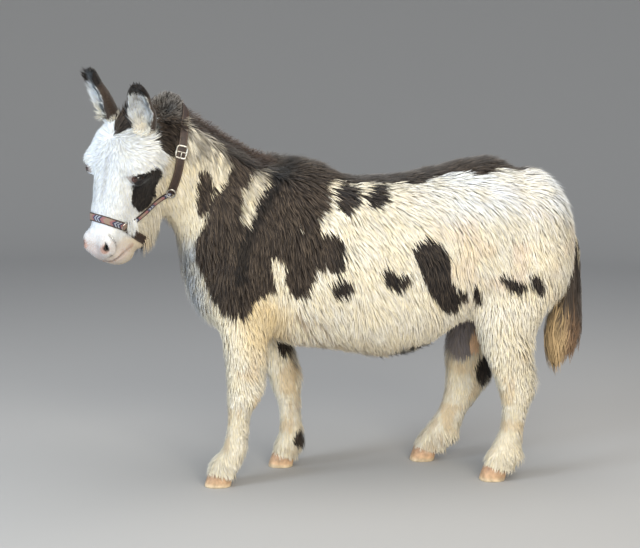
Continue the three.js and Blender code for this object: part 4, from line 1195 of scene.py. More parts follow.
def scatter(share, count, seed):
    """Roots spread over the skin: triangles drawn in turn by area times share, at a random place."""
    skin = STORE["skin"]
    rng = np.random.default_rng(seed)
    triangles = split_quads(skin.quads)
    corner = skin.points[triangles]
    area = norm(np.cross(corner[:, 1] - corner[:, 0], corner[:, 2] - corner[:, 0]))
    total = np.cumsum(area * share[triangles].mean(axis=1))
    picks = (np.arange(count) + rng.random(count)) / count * total[-1]
    chosen = triangles[np.searchsorted(total, picks)]
    a, b = rng.random((2, count))
    over = a + b > 1
    a = np.where(over, 1 - a, a)
    b = np.where(over, 1 - b, b)
    bary = columns(1 - a - b, a, b)
    roots = {key: np.einsum("nk,nk...->n...", bary, getattr(skin, key)[chosen])
             for key in ("points", "normals", "weights", "depth")}
    roots = SimpleNamespace(**roots, ear=skin.ear[chosen[:, 0]], rng=rng)
    roots.normals = unit(roots.normals)
    return roots


def lock_mesh(name, path, up, width, thick):
    """Locks: a flat triangle carried along each path, closed at the root and drawn to a point.

    path is (locks, stations, 3) and ends at the tips, up is (locks, stations, 3), width and thick
    are (locks, stations - 1). A section is the point less and plus half a width along the side,
    and the point plus the thickness along up. Each corner is shaded by up, leant to its own side, so
    that the coat takes the light as one surface.
    """
    n, k, _ = path.shape
    side = unit(np.cross(unit(np.gradient(path, axis=1)), up))

    def rings(low, high, ridge, tip):
        ring = np.stack([low, high, ridge], axis=2)
        return np.concatenate([ring.reshape(n, -1, 3), tip], axis=1)

    half = side[:, :-1] * width[..., None] / 2
    ridge = path[:, :-1] + up[:, :-1] * thick[..., None]
    points = rings(path[:, :-1] - half, path[:, :-1] + half, ridge, path[:, -1:])
    sides = ((1, 0), (2, 1), (0, 2))
    faces = [(0, 1, 2)]
    for r in range(0, 3 * k - 6, 3):
        for i, j in sides:
            faces += [(r + i, r + j, r + j + 3), (r + i, r + j + 3, r + i + 3)]
    tip = 3 * k - 3
    faces += [(tip - 3 + i, tip - 3 + j, tip) for i, j in sides]
    size = tip + 1
    every = np.arange(n)[:, None, None] * size + np.array(faces)[None]
    piece = new_mesh(name, points.reshape(-1, 3), every.reshape(-1, 3))
    aside = side[:, :-1] * 0.3
    shade = rings(unit(up[:, :-1] - aside), unit(up[:, :-1] + aside), up[:, :-1], up[:, -1:])
    piece.data.normals_split_custom_set_from_vertices(shade.reshape(-1, 3))
    return piece, size


PATCH = 0.003  # side of each lock's patch on the OFBake map


def lock_map(piece, uv, size):
    """Each lock is a small patch at its root's place: its stations run up the patch."""
    corner = np.arange(size)
    aside = np.where(corner == size - 1, 0.0, (corner % 3 - 1) * 0.5)
    spread = columns(aside, (corner // 3) / ((size - 1) // 3) - 0.5) * PATCH
    full = np.clip(uv, PATCH, 1 - PATCH)[:, None, :] + spread[None]
    set_uv(piece, "OFBake", full.reshape(-1, 2))


def set_lock_colours(piece, size, colours):
    """Colours of (locks, stations) on the corners of each section."""
    vertex = np.minimum(np.arange(size) // 3, colours.shape[1] - 1)
    set_colour(piece, colours[:, vertex].reshape(-1, 3))


def lock_colours(piece, size, light, deep, dark, rng, tuft, frost=1.0, tip=None):
    """Each lock is light or dark by its share, a little darker at the root as painted shade, and dark
    ones are frosted at the tip. tuft is a number of each clump, which is so much lighter or darker."""
    n = len(dark)
    is_dark = ramp(dark + 0.4 * (rng.random(n) - 0.5), 0.35, 0.65)
    tone = 1 + 0.12 * (rng.random(n) - 0.5) * (1 + 2 * is_dark) + 0.15 * (tuft - 0.5) * (1 + 1.5 * is_dark)
    base = blend(light, deep, is_dark) * tone[:, None]
    base = base * (1 + 0.12 * (rng.random((n, 1)) - 0.4) * np.array([0.3, -0.1, -1.6]))
    t = np.linspace(0, 1, (size - 1) // 3 + 1)
    # painted shade: each lock darker towards its root, a little lighter at its tip
    colours = base[:, None, :] * np.interp(t, [0, 0.5, 1], [0.93, 0.99, 1.03])[None, :, None]
    bright = np.clip(deep.sum(axis=1) / UMBER.sum(), 0.3, 1)
    share = np.minimum(frost * rng.random(n) ** 2, 0.9) * is_dark * bright
    lift = share[:, None, None] * np.clip(2 * t - 0.8, 0, 1)[None, :, None]
    set_lock_colours(piece, size, mix(colours, FROST if tip is None else tip, lift))


def round_map(points, loft, low, high, left=0.0, wide=1.0):
    """Unwrap of a part of the skin around its axis: angle across, station up."""
    s, f, l = loft.local(points)
    v = loft.row(s)
    angle = np.arctan2(l - v[:, 1], v[:, 0] - f) / (2 * math.pi) + 0.5
    return columns(left + wide * (0.01 + 0.98 * angle), (s - low) / (high - low))


def unwrapped(points, maps):
    """The unwrap of one part, or those of two side by side, where each point goes to the nearer."""
    wide = 1 / len(maps)
    uv = [round_map(points, *part, wide * i, wide) for i, part in enumerate(maps)]
    nearer = maps[0][0](points) <= maps[-1][0](points)
    return np.where(nearer[:, None], uv[0], uv[-1])


# How each part is unwrapped: its loft, and the stations at the map's lower and upper edge.
MAPS = {
    "trunk": [(TRUNK, -400, 740)],
    "neck": [(NECK, -120, 520)],
    "head": [(FACE, -200, 250)],
    "ears": [(EAR_LOFTS["left"][0], -40, 170), (EAR_LOFTS["right"][0], -40, 190)],
    "fore": [(LEG_LOFTS["fore_left"], 0, 640), (LEG_LOFTS["fore_right"], 0, 640)],
    "hind": [(LEG_LOFTS["hind_left"], 0, 640), (LEG_LOFTS["hind_right"], 0, 640)],
    "dock": [(DOCK, -760, -450)],
}


def straps_press(points):
    """How much a strap holds the hair down: 1 under it and 0 beside it."""
    best = np.full(len(points), 1e9)
    for line, half in STORE.get("straps", ()):
        best = np.minimum(best, polyline_distance(points, line) - half)
    return ramp(best, 9, 2)


def grow(name, share, count, seed, hair, part, look):
    """One piece of coat.

    From each root a lock runs along the flow for its length and rises along the normal to its
    share of the coat's depth, steeply at first; its tip is drawn towards the middle of the lock of
    hair that it belongs to. hair gives length, rise and width, each a number or a function of the
    roots; look gives the stations of each lock, the size of the clumps, how strongly they draw, a
    way that the hair is trained to lie, if any, and how far its tip hangs free, over the straps too.
    """
    stations, clump_size, clump, aim, hang = look
    roots = scatter(share, count, seed)
    rng, points, normals = roots.rng, roots.points, roots.normals
    length, rise, width = (value(roots) if callable(value) else value for value in hair)
    flow = ear_flow(points, normals, roots.ear, flow_field(points, normals, roots.weights))
    if aim is not None:
        flow = across(unit(aim + 0.5 * flow), normals)
    n = len(points)
    far = length * (0.72 + 0.5 * rng.random(n))
    high = rise * (0.68 + 0.36 * rng.random(n))
    pressed = 0
    if hang == 0:
        over = points + normals * 4 + flow * (0.4 * far)[:, None]
        pressed = (1 - ramp(crown(points), 0, 0.3)) * straps_press(over)
    high = high * (1 - 0.7 * pressed)
    far = far * (1 - 0.35 * pressed)
    reach = np.sqrt(np.maximum(far**2 - high**2, (0.25 * far) ** 2))
    middle = points + flow * reach[:, None] * 0.5
    centre = lock_centres(middle, clump_size, seed)
    tuft = clump_tone(centre, seed)
    high = high * (0.88 + 0.3 * tuft)
    pull = centre - middle
    pull = pull - normals * dot(pull, normals)[:, None]
    t = np.linspace(0, 1, stations)[None, :, None]
    lie = flow[:, None] * reach[:, None, None] * t
    lift = normals[:, None] * high[:, None, None] * (1 - (1 - t) ** 1.7)
    sway = across(rng.normal(size=(n, 3)), normals)[:, None] * (0.07 * far)[:, None, None] * t**2
    drop = -Z * (hang * (0.5 + 0.7 * rng.random(n)))[:, None, None] * t**1.4
    path = (points - normals * 0.8)[:, None] + lie + lift + pull[:, None] * clump * t**1.5 + sway + drop
    up = unit(normals[:, None] - flow[:, None] * 0.35 * (1 - t))
    wide = width * (0.8 + 0.4 * rng.random(n))
    shape = wide[:, None] * np.interp(t[0, :-1, 0], [0, 0.35, 0.7, 1], [0.8, 1.0, 0.66, 0.1])
    piece, size = lock_mesh(name, path, up, shape, 0.2 * shape)
    seen = points + flow * (0.55 * reach)[:, None] + normals * roots.depth[:, None] * 0.8
    light, deep, dark = coat_colour(seen, roots.weights)
    for here, side, *_ in each_ear(roots.ear):
        light[here], deep[here], dark[here] = ear_colour(points[here], side)
    lock_colours(piece, size, light, deep, dark, rng, tuft)
    lock_map(piece, unwrapped(points, MAPS[part]), size)
    finish_piece(piece, STORE["hair"], "coat")


def clump_tone(centre, seed):
    """A number from 0 to 1 for each clump of locks."""
    return lattice(np.round(centre * 8).astype(np.int64), seed)


def ear_flow(points, normals, ear, flow):
    """On the ears the hair runs up to the tip, and within them outwards as well."""
    for here, _, shell, hollow in each_ear(ear):
        inner = ramp(hollow(points[here]), 5, 1)[:, None]
        _, _, l = shell.local(points[here])
        aim = shell.along + inner * (shell.front * 0.5 - shell.side * np.sign(l)[:, None] * 0.25)
        flow[here] = across(aim, normals[here])
    return flow


# ---- what a user would change
def length_property(name, description, default, low, high):
    return FloatProperty(name=name, description=description, default=default, min=low, max=high,
                         subtype="DISTANCE", unit="LENGTH")


def colour_property(name, description, default):
    return FloatVectorProperty(name=name, description=description, default=tuple(default),
                               subtype="COLOR", size=3, min=0, max=1)


class DonkeyCoat(bpy.types.PropertyGroup):
    body: length_property("Body hair", "Length of the locks on the trunk", 0.052, 0.01, 0.1)
    neck: length_property("Neck hair", "Length of the locks on the neck", 0.05, 0.01, 0.1)
    mane: length_property("Mane", "Length of the mane's locks", 0.062, 0.02, 0.2)
    body_locks: IntProperty(name="Locks on a piece", description="Locks in each piece of body coat",
                            default=17400, min=1000, max=19500)
    width: length_property("Lock width", "Width of a lock on the trunk", 0.004, 0.001, 0.01)


class DonkeyHalter(bpy.types.PropertyGroup):
    leather: colour_property("Leather", "Colour of the straps", linear((50, 34, 27)))
    ground: colour_property("Band", "Ground colour of the woven band", linear((158, 136, 120)))
    first: colour_property("First stripe", "Colour of the broad chevrons", linear((156, 108, 108)))
    second: colour_property("Second stripe", "Colour of the narrow chevrons", linear((62, 64, 88)))


class DonkeyStage(bpy.types.PropertyGroup):
    floor: colour_property("Floor", "Colour of the floor", (0.42, 0.41, 0.4))
    key: FloatProperty(name="Key light", description="Power of the main light", default=160.0,
                       min=0, subtype="POWER", unit="POWER")


# ---- skin, lids and eyes
def almond(angle, half, up, down):
    """Outline of the opening between the lids: an ellipse whose corners are drawn to points."""
    rise = np.where(np.sin(angle) > 0, up, down)
    return half * np.cos(angle), rise * np.sign(np.sin(angle)) * np.abs(np.sin(angle)) ** 1.35


LID_SPOKES = 72
LID_ROWS = 16
LID_SPREAD = (1.3, 1.1, 1.02, 1.0)  # of the first rows, which turn under the rim
LID_LIFT = (0.1, 0.5, 1.6, LID)  # how far they lie off the eyeball


def lid_surface(eye):
    """The lids of an eye: spokes from under the rim, over it and out along the skin.

    A row's place runs from the almond of the opening to a wide oval, its direction is from the
    eyeball's centre, and its distance is the ball's near the rim and the skin's further out.
    """
    angle = circle(LID_SPOKES)
    rim = almond(angle, *OPENING)
    rim_ahead = np.sqrt(np.maximum((EYE_RADIUS + 0.5) ** 2 - rim[0] ** 2 - rim[1] ** 2, 9))
    upper = np.where(np.sin(angle) > 0, 1, 0.5)
    rows = []
    for row in range(LID_ROWS):
        t = max(row - 3, 0) / (LID_ROWS - 4)
        s = t**1.4
        spread = LID_SPREAD[row] if row < 4 else 1.0
        a = mix(rim[0], 29 * np.cos(angle), s) * spread
        b = mix(rim[1], 19 * np.sin(angle), s) * spread
        c = mix(rim_ahead, 17, s)
        aim = unit(np.outer(a, eye.out) + np.outer(b, eye.lift) + np.outer(c, eye.look))
        if row < 4:
            reach = np.full(LID_SPOKES, EYE_RADIUS + LID_LIFT[row])
        else:
            crease = -0.9 * np.exp(-(((t - 0.33) / 0.09) ** 2)) * upper
            wrinkle = -0.5 * np.exp(-(((t - 0.55) / 0.08) ** 2))
            reach = skin_reach(eye.centre, aim) + crease + wrinkle - 1.6 * ramp(t, 0.62, 1.0)
            reach = mix(EYE_RADIUS + LID + 0.3, reach, ramp(t, 0.0, 0.35))
        rows.append(eye.centre + aim * reach[:, None])
    return np.concatenate(rows), grid_faces(LID_ROWS, LID_SPOKES)


def skin_reach(centre, aim):
    """Distance along each ray from the eyeball's centre to the skin, halved between bounds."""
    low = np.full(len(aim), 8.0)
    high = np.full(len(aim), 70.0)
    for _ in range(18):
        middle = (low + high) / 2
        outside = lid_field(centre + aim * middle[:, None]) > 0
        high = np.where(outside, middle, high)
        low = np.where(outside, low, middle)
    return (low + high) / 2


def lid_colours(eye, points, base):
    """Bare dark rims that turn to the coat's colour outwards, and a pink inner corner."""
    a, b, _ = eye.local(points)
    rim = np.hypot(a / 26, np.where(b > 0, b / 12, b / 18))
    corner = np.hypot(a + 17, b + 1)
    return blend(base, SOOT * 1.2, ramp(rim, 1.1, 0.85), linear((84, 62, 56)), 0.8 * ramp(corner, 11, 6),
                 linear((88, 50, 46)), 0.8 * ramp(corner, 4, 2))


def facing(eye, faces):
    """Turns the faces round where the eye's ways aside, up and ahead are a mirror image."""
    return faces[:, ::-1] if np.cross(eye.out, eye.lift) @ eye.look < 0 else faces


class DONKEY_OT_skin(bpy.types.Operator):
    """Make the skin, with lids, nostrils and lips, in one piece"""

    bl_idname = "donkey.skin"
    bl_label = "Skin"

    def execute(self, context):
        skin = skin_surface()
        STORE["skin"] = skin
        points, colours, faces = [skin.points], [skin_colours(skin)], [skin.quads]
        for eye in EYES.values():
            lid, quads = lid_surface(eye)
            faces.append(facing(eye, quads) + sum(len(p) for p in points))
            light, deep, dark = coat_colour(lid, shares(part_distances(lid)))
            points.append(lid)
            colours.append(lid_colours(eye, lid, blend(light, deep, dark) * 0.85))
        piece = new_mesh("Skin", np.concatenate(points), np.concatenate(faces))
        set_colour(piece, np.concatenate(colours))
        material = coat_material("Skin", 0.75, 420.0, 0.3, 0.5, 0.2)
        flesh = ["trunk", "neck", "head", "ear_left", "ear_right"]
        flesh += [f"leg_{leg}_{half}" for leg in LEGS for half in ("upper", "lower")]
        finish_piece(piece, material, "coat", *flesh)
        return {"FINISHED"}


def eye_surface(eye):
    """Eyeball: a ball with the cornea's bulge in front, rows from back to front around the look."""
    rows, columns = 48, 64
    v = np.linspace(0.001, math.pi - 0.001, rows)[:, None]
    u = circle(columns)[None, :]
    ahead = -np.cos(v) + 0 * u
    radius = EYE_RADIUS + 1.1 * np.exp(-((1 - ahead) / 0.16))
    a = np.sin(v) * radius * np.cos(u)
    b = np.sin(v) * radius * np.sin(u)
    c = ahead * radius
    points = a[..., None] * eye.out + b[..., None] * eye.lift + c[..., None] * eye.look + eye.centre
    colours = eye_colours(a.ravel(), b.ravel(), c.ravel())
    return points.reshape(-1, 3), facing(eye, grid_faces(rows, columns)), colours


def eye_colours(a, b, c):
    """A dark brown iris with a wide pupil, a darker ring, and reddish white only at the corners."""
    r = np.hypot(a, b)
    turn = np.arctan2(b, a)
    streaks = 0.5 + 0.5 * np.sin(40 * turn + 3 * np.sin(7 * turn))
    return blend(
        linear((58, 34, 20)) * (0.75 + 0.5 * streaks)[:, None],
        linear((6, 5, 6)), ramp(np.hypot(a / 7.5, b / 4.2), 1.12, 0.9),
        linear((18, 12, 10)), ramp(r, 10.5, 12),
        linear((150, 116, 104)), ramp(r, 12.6, 13.6) * ramp(c, -2, 2),
        linear((40, 26, 24)), ramp(c, 2, -2),
    )


def eye_material():
    """A wet eye: colours from the vertices, smooth, with a clear coat."""
    material, tree = new_material("Eye", Roughness=0.12, Coat_Weight=1.0, Coat_Roughness=0.03)
    place = places(tree)
    veins = node(tree, "TexNoise", Vector=place, Scale=900.0, Detail=3.0).outputs["Color"]
    paint(tree, mixed(tree, vertex_colour(tree), veins, 0.4, "SOFT_LIGHT"))
    return material


class DONKEY_OT_eyes(bpy.types.Operator):
    """Make both eyeballs"""

    bl_idname = "donkey.eyes"
    bl_label = "Eyes"

    def execute(self, context):
        material = eye_material()
        for eye in EYES.values():
            points, faces, colours = eye_surface(eye)
            piece = new_mesh(f"Eyeball_{eye.name}", points, faces)
            set_colour(piece, colours)
            finish_piece(piece, material, "eye", f"eye_{eye.name}")
        return {"FINISHED"}


# ---- the coat's pieces
def body_length(roots):
    """Length on trunk, neck and legs: longest under the belly and at the throat, short on the legs."""
    user = bpy.context.scene.donkey_coat
    z = roots.points[:, 2]
    back = np.maximum(roots.normals[:, 0], 0)
    trunk = user.body / MM * (1 + 0.3 * ramp(z, 430, 350))
    leg = np.interp(z, [20, 60, 90, 140, 230, 300, 440], [15, 22, 22, 15, 17, 27, 38]) * (1 + 0.55 * back)
    own = columns(trunk, user.neck / MM, 16, leg, leg)
    return dot(roots.weights, own)


def body_rise(roots):
    """The coat's depth, and more under the belly and at the back of the legs, where hair hangs free."""
    z = roots.points[:, 2]
    belly = 0.45 * ramp(z, 420, 360) * roots.weights[:, 0]
    back = np.maximum(roots.normals[:, 0], 0) * (roots.weights[:, 3] + roots.weights[:, 4])
    breast = 0.5 * ramp(roots.points[:, 0], -285, -325) * roots.weights[:, 0]
    return roots.depth * (1 + belly + breast + 0.9 * back * ramp(z, 480, 400))


def body_width(roots):
    wide = bpy.context.scene.donkey_coat.width / MM
    leg = np.interp(roots.points[:, 2], [60, 300, 440], [2.2, 2.8, 3.8])
    own = columns(wide, 0.95 * wide, 2.4, leg, leg)
    return dot(roots.weights, own)


def by_the_eye(points):
    """How short the hair is kept around the eyes: 0.35 at the lids and 1 away from them."""
    keep = np.ones(len(points))
    for eye in EYES.values():
        a, b, _ = eye.local(points)
        keep = np.minimum(keep, 0.35 + 0.65 * ramp(np.hypot(a / 30, b / 20), 0.75, 1.5))
    return keep


def head_length(roots):
    """Length over the head: long on the poll and jaw, short down the face, almost none on the lips,
    and on the ears short outside and longer within."""
    points, ear = roots.points, roots.ear
    _, front, down = head_place(points)
    face = np.interp(down, [-140, -100, -50, 0, 90, 140, 170, 200], [34, 26, 20, 16, 14, 11, 7.5, 5.5])
    jaw = np.interp(front, [-225, -180, -130], [26, 16, 0]) * ramp(down, 190, 150)
    far = (face + jaw) * by_the_eye(points)
    for here, _, _, hollow in each_ear(ear):
        far = np.where(here, 7 + 16 * ramp(hollow(points), 4, 0), far)
    return far


def head_rise(roots):
    low = np.where(roots.ear > 0, 0.32 * head_length(roots), roots.depth * by_the_eye(roots.points))
    jaw = 1 + 0.6 * ramp(head_place(roots.points)[1], -175, -215) * (roots.ear == 0)
    return np.maximum(low * jaw, 1.7)


def head_width(roots):
    _, _, down = head_place(roots.points)
    face = np.interp(down, [-120, -40, 120, 180], [2.8, 2.0, 1.7, 1.2])
    return np.where(roots.ear > 0, 1.9, face)


def fringe_length(roots):
    """Longest at the back of the jaw."""
    return np.interp(head_place(roots.points)[2], [20, 90, 150], [46, 38, 20])


def mane_length(roots):
    longest = bpy.context.scene.donkey_coat.mane / MM
    return np.maximum(longest * (0.75 + 0.25 * crown(roots.points)), roots.depth * 1.1)


def clear_of_eyes(points):
    """0 on the eyelids, in the nostrils and between the lips, 1 elsewhere on the skin."""
    keep = np.ones(len(points))
    for eye in EYES.values():
        a, b, c = eye.local(points)
        keep *= 1 - ramp(np.hypot(a / 21, b / 11), 1.1, 0.95) * (c > 0)
    a, b, c = NOSTRIL
    for side in (1, -1):
        keep *= ramp(far_from(points, on_head(side * (a - 4), b - 3, c)), 11, 14)
        keep *= ramp(polyline_distance(points, beside(side, MOUTH)), 2.5, 5)
    return keep


# What grow calls hair: length, rise and width; and what it calls look.
BODY_HAIR = (body_length, body_rise, body_width)
HEAD_HAIR = (head_length, head_rise, head_width)
FRINGE_HAIR = (fringe_length, lambda roots: roots.depth + 4, head_width)
TUFT_HAIR = (26.0, lambda roots: roots.depth + 7.5, head_width)
MANE_HAIR = (mane_length, lambda roots: roots.depth * 1.02 + 2, 3.6)
FORELOCK_HAIR = (52.0, lambda roots: np.maximum(roots.depth * 0.9, 12), 3.6)
BODY_LOOK = (3, 12.0, 0.3, None, 0)
HEAD_LOOK = (3, 7.0, 0.35, None, 0)
LEG_LOOK = (3, 9.0, 0.45, None, 0)
FRINGE_LOOK = (4, 10.0, 0.6, None, 25.0)
TUFT_LOOK = (4, 12.0, 0.5, None, 12.0)
MANE_LOOK = (5, 15.0, 0.6, -NECK.along * 0.9 + Z * 0.35 - Y * 0.15, 0)
FORELOCK_LOOK = (6, 16.0, 0.7, None, 0)


class DONKEY_OT_body_coat(bpy.types.Operator):
    """Grow the coat of the trunk in three pieces, and that of the neck"""

    bl_idname = "donkey.body_coat"
    bl_label = "Body coat"

    def execute(self, context):
        skin = STORE["skin"]
        count = context.scene.donkey_coat.body_locks
        w = skin.weights
        bare = (skin.ear == 0) & ~skin.dock
        x = skin.points[:, 0]
        trunk = ramp(w[:, 0], 0.3, 0.5) * bare * ramp(w[:, 2], 0.3, 0.2)
        bands = {"front": ramp(x, 60, 50) * (x < 60), "middle": (x >= 60) & (x < 330), "rear": x >= 330}
        for seed, (name, band) in enumerate(bands.items(), 101):
            grow(f"Coat_trunk_{name}", trunk * band, count, seed, BODY_HAIR, "trunk", BODY_LOOK)
        neck = w[:, 1] * bare * ramp(w[:, 2], 0.55, 0.45) * (w[:, 0] < 0.7)
        neck = neck * (1 - 0.9 * crest(skin.points)) * (1 - crown(skin.points))
        grow("Coat_neck", neck, int(0.8 * count), 111, BODY_HAIR, "neck", BODY_LOOK)
        return {"FINISHED"}


class DONKEY_OT_leg_coat(bpy.types.Operator):
    """Grow the coat of the fore legs and of the hind legs"""

    bl_idname = "donkey.leg_coat"
    bl_label = "Leg coat"

    def execute(self, context):
        skin = STORE["skin"]
        count = int(0.74 * context.scene.donkey_coat.body_locks)
        z = skin.points[:, 2]
        for seed, pair in enumerate(("fore", "hind"), 121):
            share = skin.weights[:, PARTS.index(pair)] * (z > 26)
            share = share * ramp(skin.weights[:, 0], 0.8, 0.6) * np.interp(z, [60, 300, 450], [1.8, 1.3, 1])
            grow(f"Coat_{pair}_legs", share, count, seed, BODY_HAIR, pair, LEG_LOOK)
        return {"FINISHED"}


class DONKEY_OT_head_coat(bpy.types.Operator):
    """Grow the short coat of the head, the hair in and on the ears, and the jaw's fringe"""

    bl_idname = "donkey.head_coat"
    bl_label = "Head coat"

    def execute(self, context):
        skin = STORE["skin"]
        count = context.scene.donkey_coat.body_locks
        side, front, down = head_place(skin.points)
        keep = clear_of_eyes(skin.points)
        head = skin.weights[:, 2] * (skin.ear == 0) * keep
        head = head * np.interp(down, [-100, 0, 120, 190], [1.0, 1.3, 1.5, 1.3])
        ears = (skin.ear > 0) * 1.0
        jaw = ramp(front, -150, -185) * ramp(down, 5, 40) * ramp(down, 178, 150) * (skin.weights[:, 2] > 0.6)
        tuft = ramp(np.hypot(front + 84, down - 116) + 40 * (side < 0), 17, 7) * keep
        grow("Coat_head", head, count, 131, HEAD_HAIR, "head", HEAD_LOOK)
        grow("Coat_ears", ears, int(0.42 * count), 132, HEAD_HAIR, "ears", HEAD_LOOK)
        grow("Jaw_fringe", jaw, 2100, 133, FRINGE_HAIR, "head", FRINGE_LOOK)
        grow("Cheek_tuft", tuft, 170, 134, TUFT_HAIR, "head", TUFT_LOOK)
        return {"FINISHED"}


CROWN_LOCKS = 2600


def crown_hair():
    """The upright hair behind the ears: locks that fan out from the poll to a ragged ball, each bent
    back towards the neck, dark with pale tips."""
    rng = np.random.default_rng(145)
    aim = unit(rng.normal(size=(CROWN_LOCKS * 3, 3)) + Z * 0.7)
    reach = CROWN_RADIUS * (0.8 + 0.36 * rng.random(len(aim)))
    tip = CROWN + aim * reach[:, None] + np.array([7.0, 0, 3.0])
    wanted = outline(tip) > -16
    for shell, _ in EAR_LOFTS.values():
        wanted &= shell(tip) > 3
    aim, tip = aim[wanted][:CROWN_LOCKS], tip[wanted][:CROWN_LOCKS]
    n = len(aim)
    root = CROWN + aim * 9 + rng.normal(size=(n, 3)) * 8 - Z * 6
    t = np.linspace(0, 1, 5)[None, :, None]
    centre = lock_centres(tip, 13.0, 146)
    bend = across(np.array([0.5, 0, 1.0]) + 0 * aim, aim)
    path = root[:, None] + (tip - root)[:, None] * t - bend[:, None] * 9 * (t * (1 - t))
    path = path + (centre - tip)[:, None] * 0.4 * t**2
    shape = 3.4 * (0.7 + 0.6 * rng.random(n))[:, None] * np.array([0.8, 1.0, 0.8, 0.45])
    up = np.broadcast_to(across(-Y + 0 * aim, aim)[:, None], path.shape)
    piece, size = lock_mesh("Poll_hair", path, up, shape, 0.3 * shape)
    deep = tiled(mix(UMBER, SOOT, 0.3), aim)
    tuft = clump_tone(centre, 147)
    lock_colours(piece, size, deep, deep, np.ones(n), rng, tuft, 2.2, linear((196, 190, 184)))
    lock_map(piece, unwrapped(root, MAPS["neck"]), size)
    finish_piece(piece, STORE["hair"], "coat")


class DONKEY_OT_mane(bpy.types.Operator):
    """Grow the mane, the crown behind the ears and the forelock"""

    bl_idname = "donkey.mane"
    bl_label = "Mane and forelock"

    def execute(self, context):
        skin = STORE["skin"]
        points = skin.points
        top = np.maximum(crest(points), crown(points)) * (skin.ear == 0)
        top = top * ramp(skin.weights[:, 2], 0.9, 0.6)
        side, front, down = head_place(points)
        lock = ramp(np.abs(side), 34, 20) * ramp(down, -104, -118) * ramp(front, -130, -90)
        grow("Mane", top, 4700, 141, MANE_HAIR, "neck", MANE_LOOK)
        grow("Forelock", lock, 900, 142, FORELOCK_HAIR, "head", FORELOCK_LOOK)
        crown_hair()
        return {"FINISHED"}


TAIL_LOCKS = 2300
TAIL_STATIONS = 9


def tail_paths(rng):
    """Locks of the tail: each starts on the dock, runs down inside the tail's outline and spreads
    with it, waves a little, and ends at a height of its own, lowest towards the legs."""
    n = TAIL_LOCKS
    start = -745 + 265 * rng.random(n) ** 0.9
    length = 110 + 290 * rng.random(n)
    angle = 2 * math.pi * rng.random(n)
    share = np.sqrt(rng.random(n)) * 1.02
    lowest = -366 + 42 * np.cos(angle) * share + 60 * rng.random(n)
    end = np.minimum(start + length, lowest)
    t = np.linspace(0, 1, TAIL_STATIONS)
    s = start[:, None] + (end - start)[:, None] * t
    row, dock = TAIL.row(s), DOCK.row(s)
    over = np.clip((s - TAIL.end) / (TAIL.caps[1] * 1.12), 0, 0.999)
    narrow = np.sqrt(1 - over**1.5) * share[:, None]
    phase = 6 * rng.random((2, n, 1))
    turn = angle[:, None] + 0.35 * (np.sin(4 * angle)[:, None] * t + np.sin(4 * t + phase[0]))
    cos, sin = np.cos(turn), np.sin(turn)
    spread = narrow * (1 + 0.12 * np.sin(7 * t + phase[1]))
    f = row[..., 0] + cos * np.where(cos > 0, row[..., 2], row[..., 3]) * spread
    l = row[..., 1] + sin * row[..., 4] * spread
    out = ramp(t, 0, 0.3)
    f = mix(dock[..., 0] + cos * dock[..., 2] * 0.8, f, out)[..., None]
    l = mix(sin * dock[..., 4] * 0.8, l, out)[..., None]
    path = TAIL.origin + s[..., None] * TAIL.along + f * TAIL.front + l * TAIL.side
    away = cos[..., None] * TAIL.front + sin[..., None] * TAIL.side
    pull = (lock_centres(path[:, -1], 17.0, 152) - path[:, -1]) * np.array([1, 1, 0.2])
    return path + pull[:, None] * 0.6 * t[None, :, None] ** 2, away


class DONKEY_OT_tail(bpy.types.Operator):
    """Make the tail's long locks"""

    bl_idname = "donkey.tail"
    bl_label = "Tail"

    def execute(self, context):
        rng = np.random.default_rng(151)
        path, away = tail_paths(rng)
        n = len(path)
        shape = np.interp(np.linspace(0, 1, TAIL_STATIONS)[:-1], [0, 0.2, 0.7, 1], [0.5, 1, 0.9, 0.3])
        shape = 4.4 * (0.7 + 0.6 * rng.random(n))[:, None] * shape
        piece, size = lock_mesh("Tail_hair", path, away, shape, 0.3 * shape)
        x, z = path[..., :1], path[..., 2:]
        tone = rng.random((n, 1, 1))
        fair = ramp(z + 0.7 * (x - 718) + 120 * (tone - 0.5), 520, 360)
        gold = ramp(x + 20 * (tone - 0.5), 735, 690)
        pale = mix(linear((140, 112, 88)), linear((206, 178, 136)), gold)
        colours = mix(mix(UMBER, DUN, 0.35 * tone), pale, fair)
        wisp = ramp(z, 590, 660) * (tone > 0.45) * ramp(x, 690, 725)
        colours = mix(colours, CREAM, 0.85 * wisp) * (0.8 + 0.4 * rng.random(n))[:, None, None]
        set_lock_colours(piece, size, colours)
        lock_map(piece, unwrapped(path[:, 0], MAPS["dock"]), size)
        finish_piece(piece, STORE["hair"], "tail_hair", "tail")
        return {"FINISHED"}


# ---- hooves
HOOF_TOE = 45.0
HOOF_HEEL = 24.0
HOOF_HEIGHTS = [0, 16, 34, 60]
HOOF_LEAN = [0, 4, 9, 17]
HOOF_WIDTH = [31, 30.5, 29, 26]
HOOF_TAPER = 0.06
HOOF_POWER = 2.4
HOOF_ROWS = 22
HOOF_COLUMNS = 72


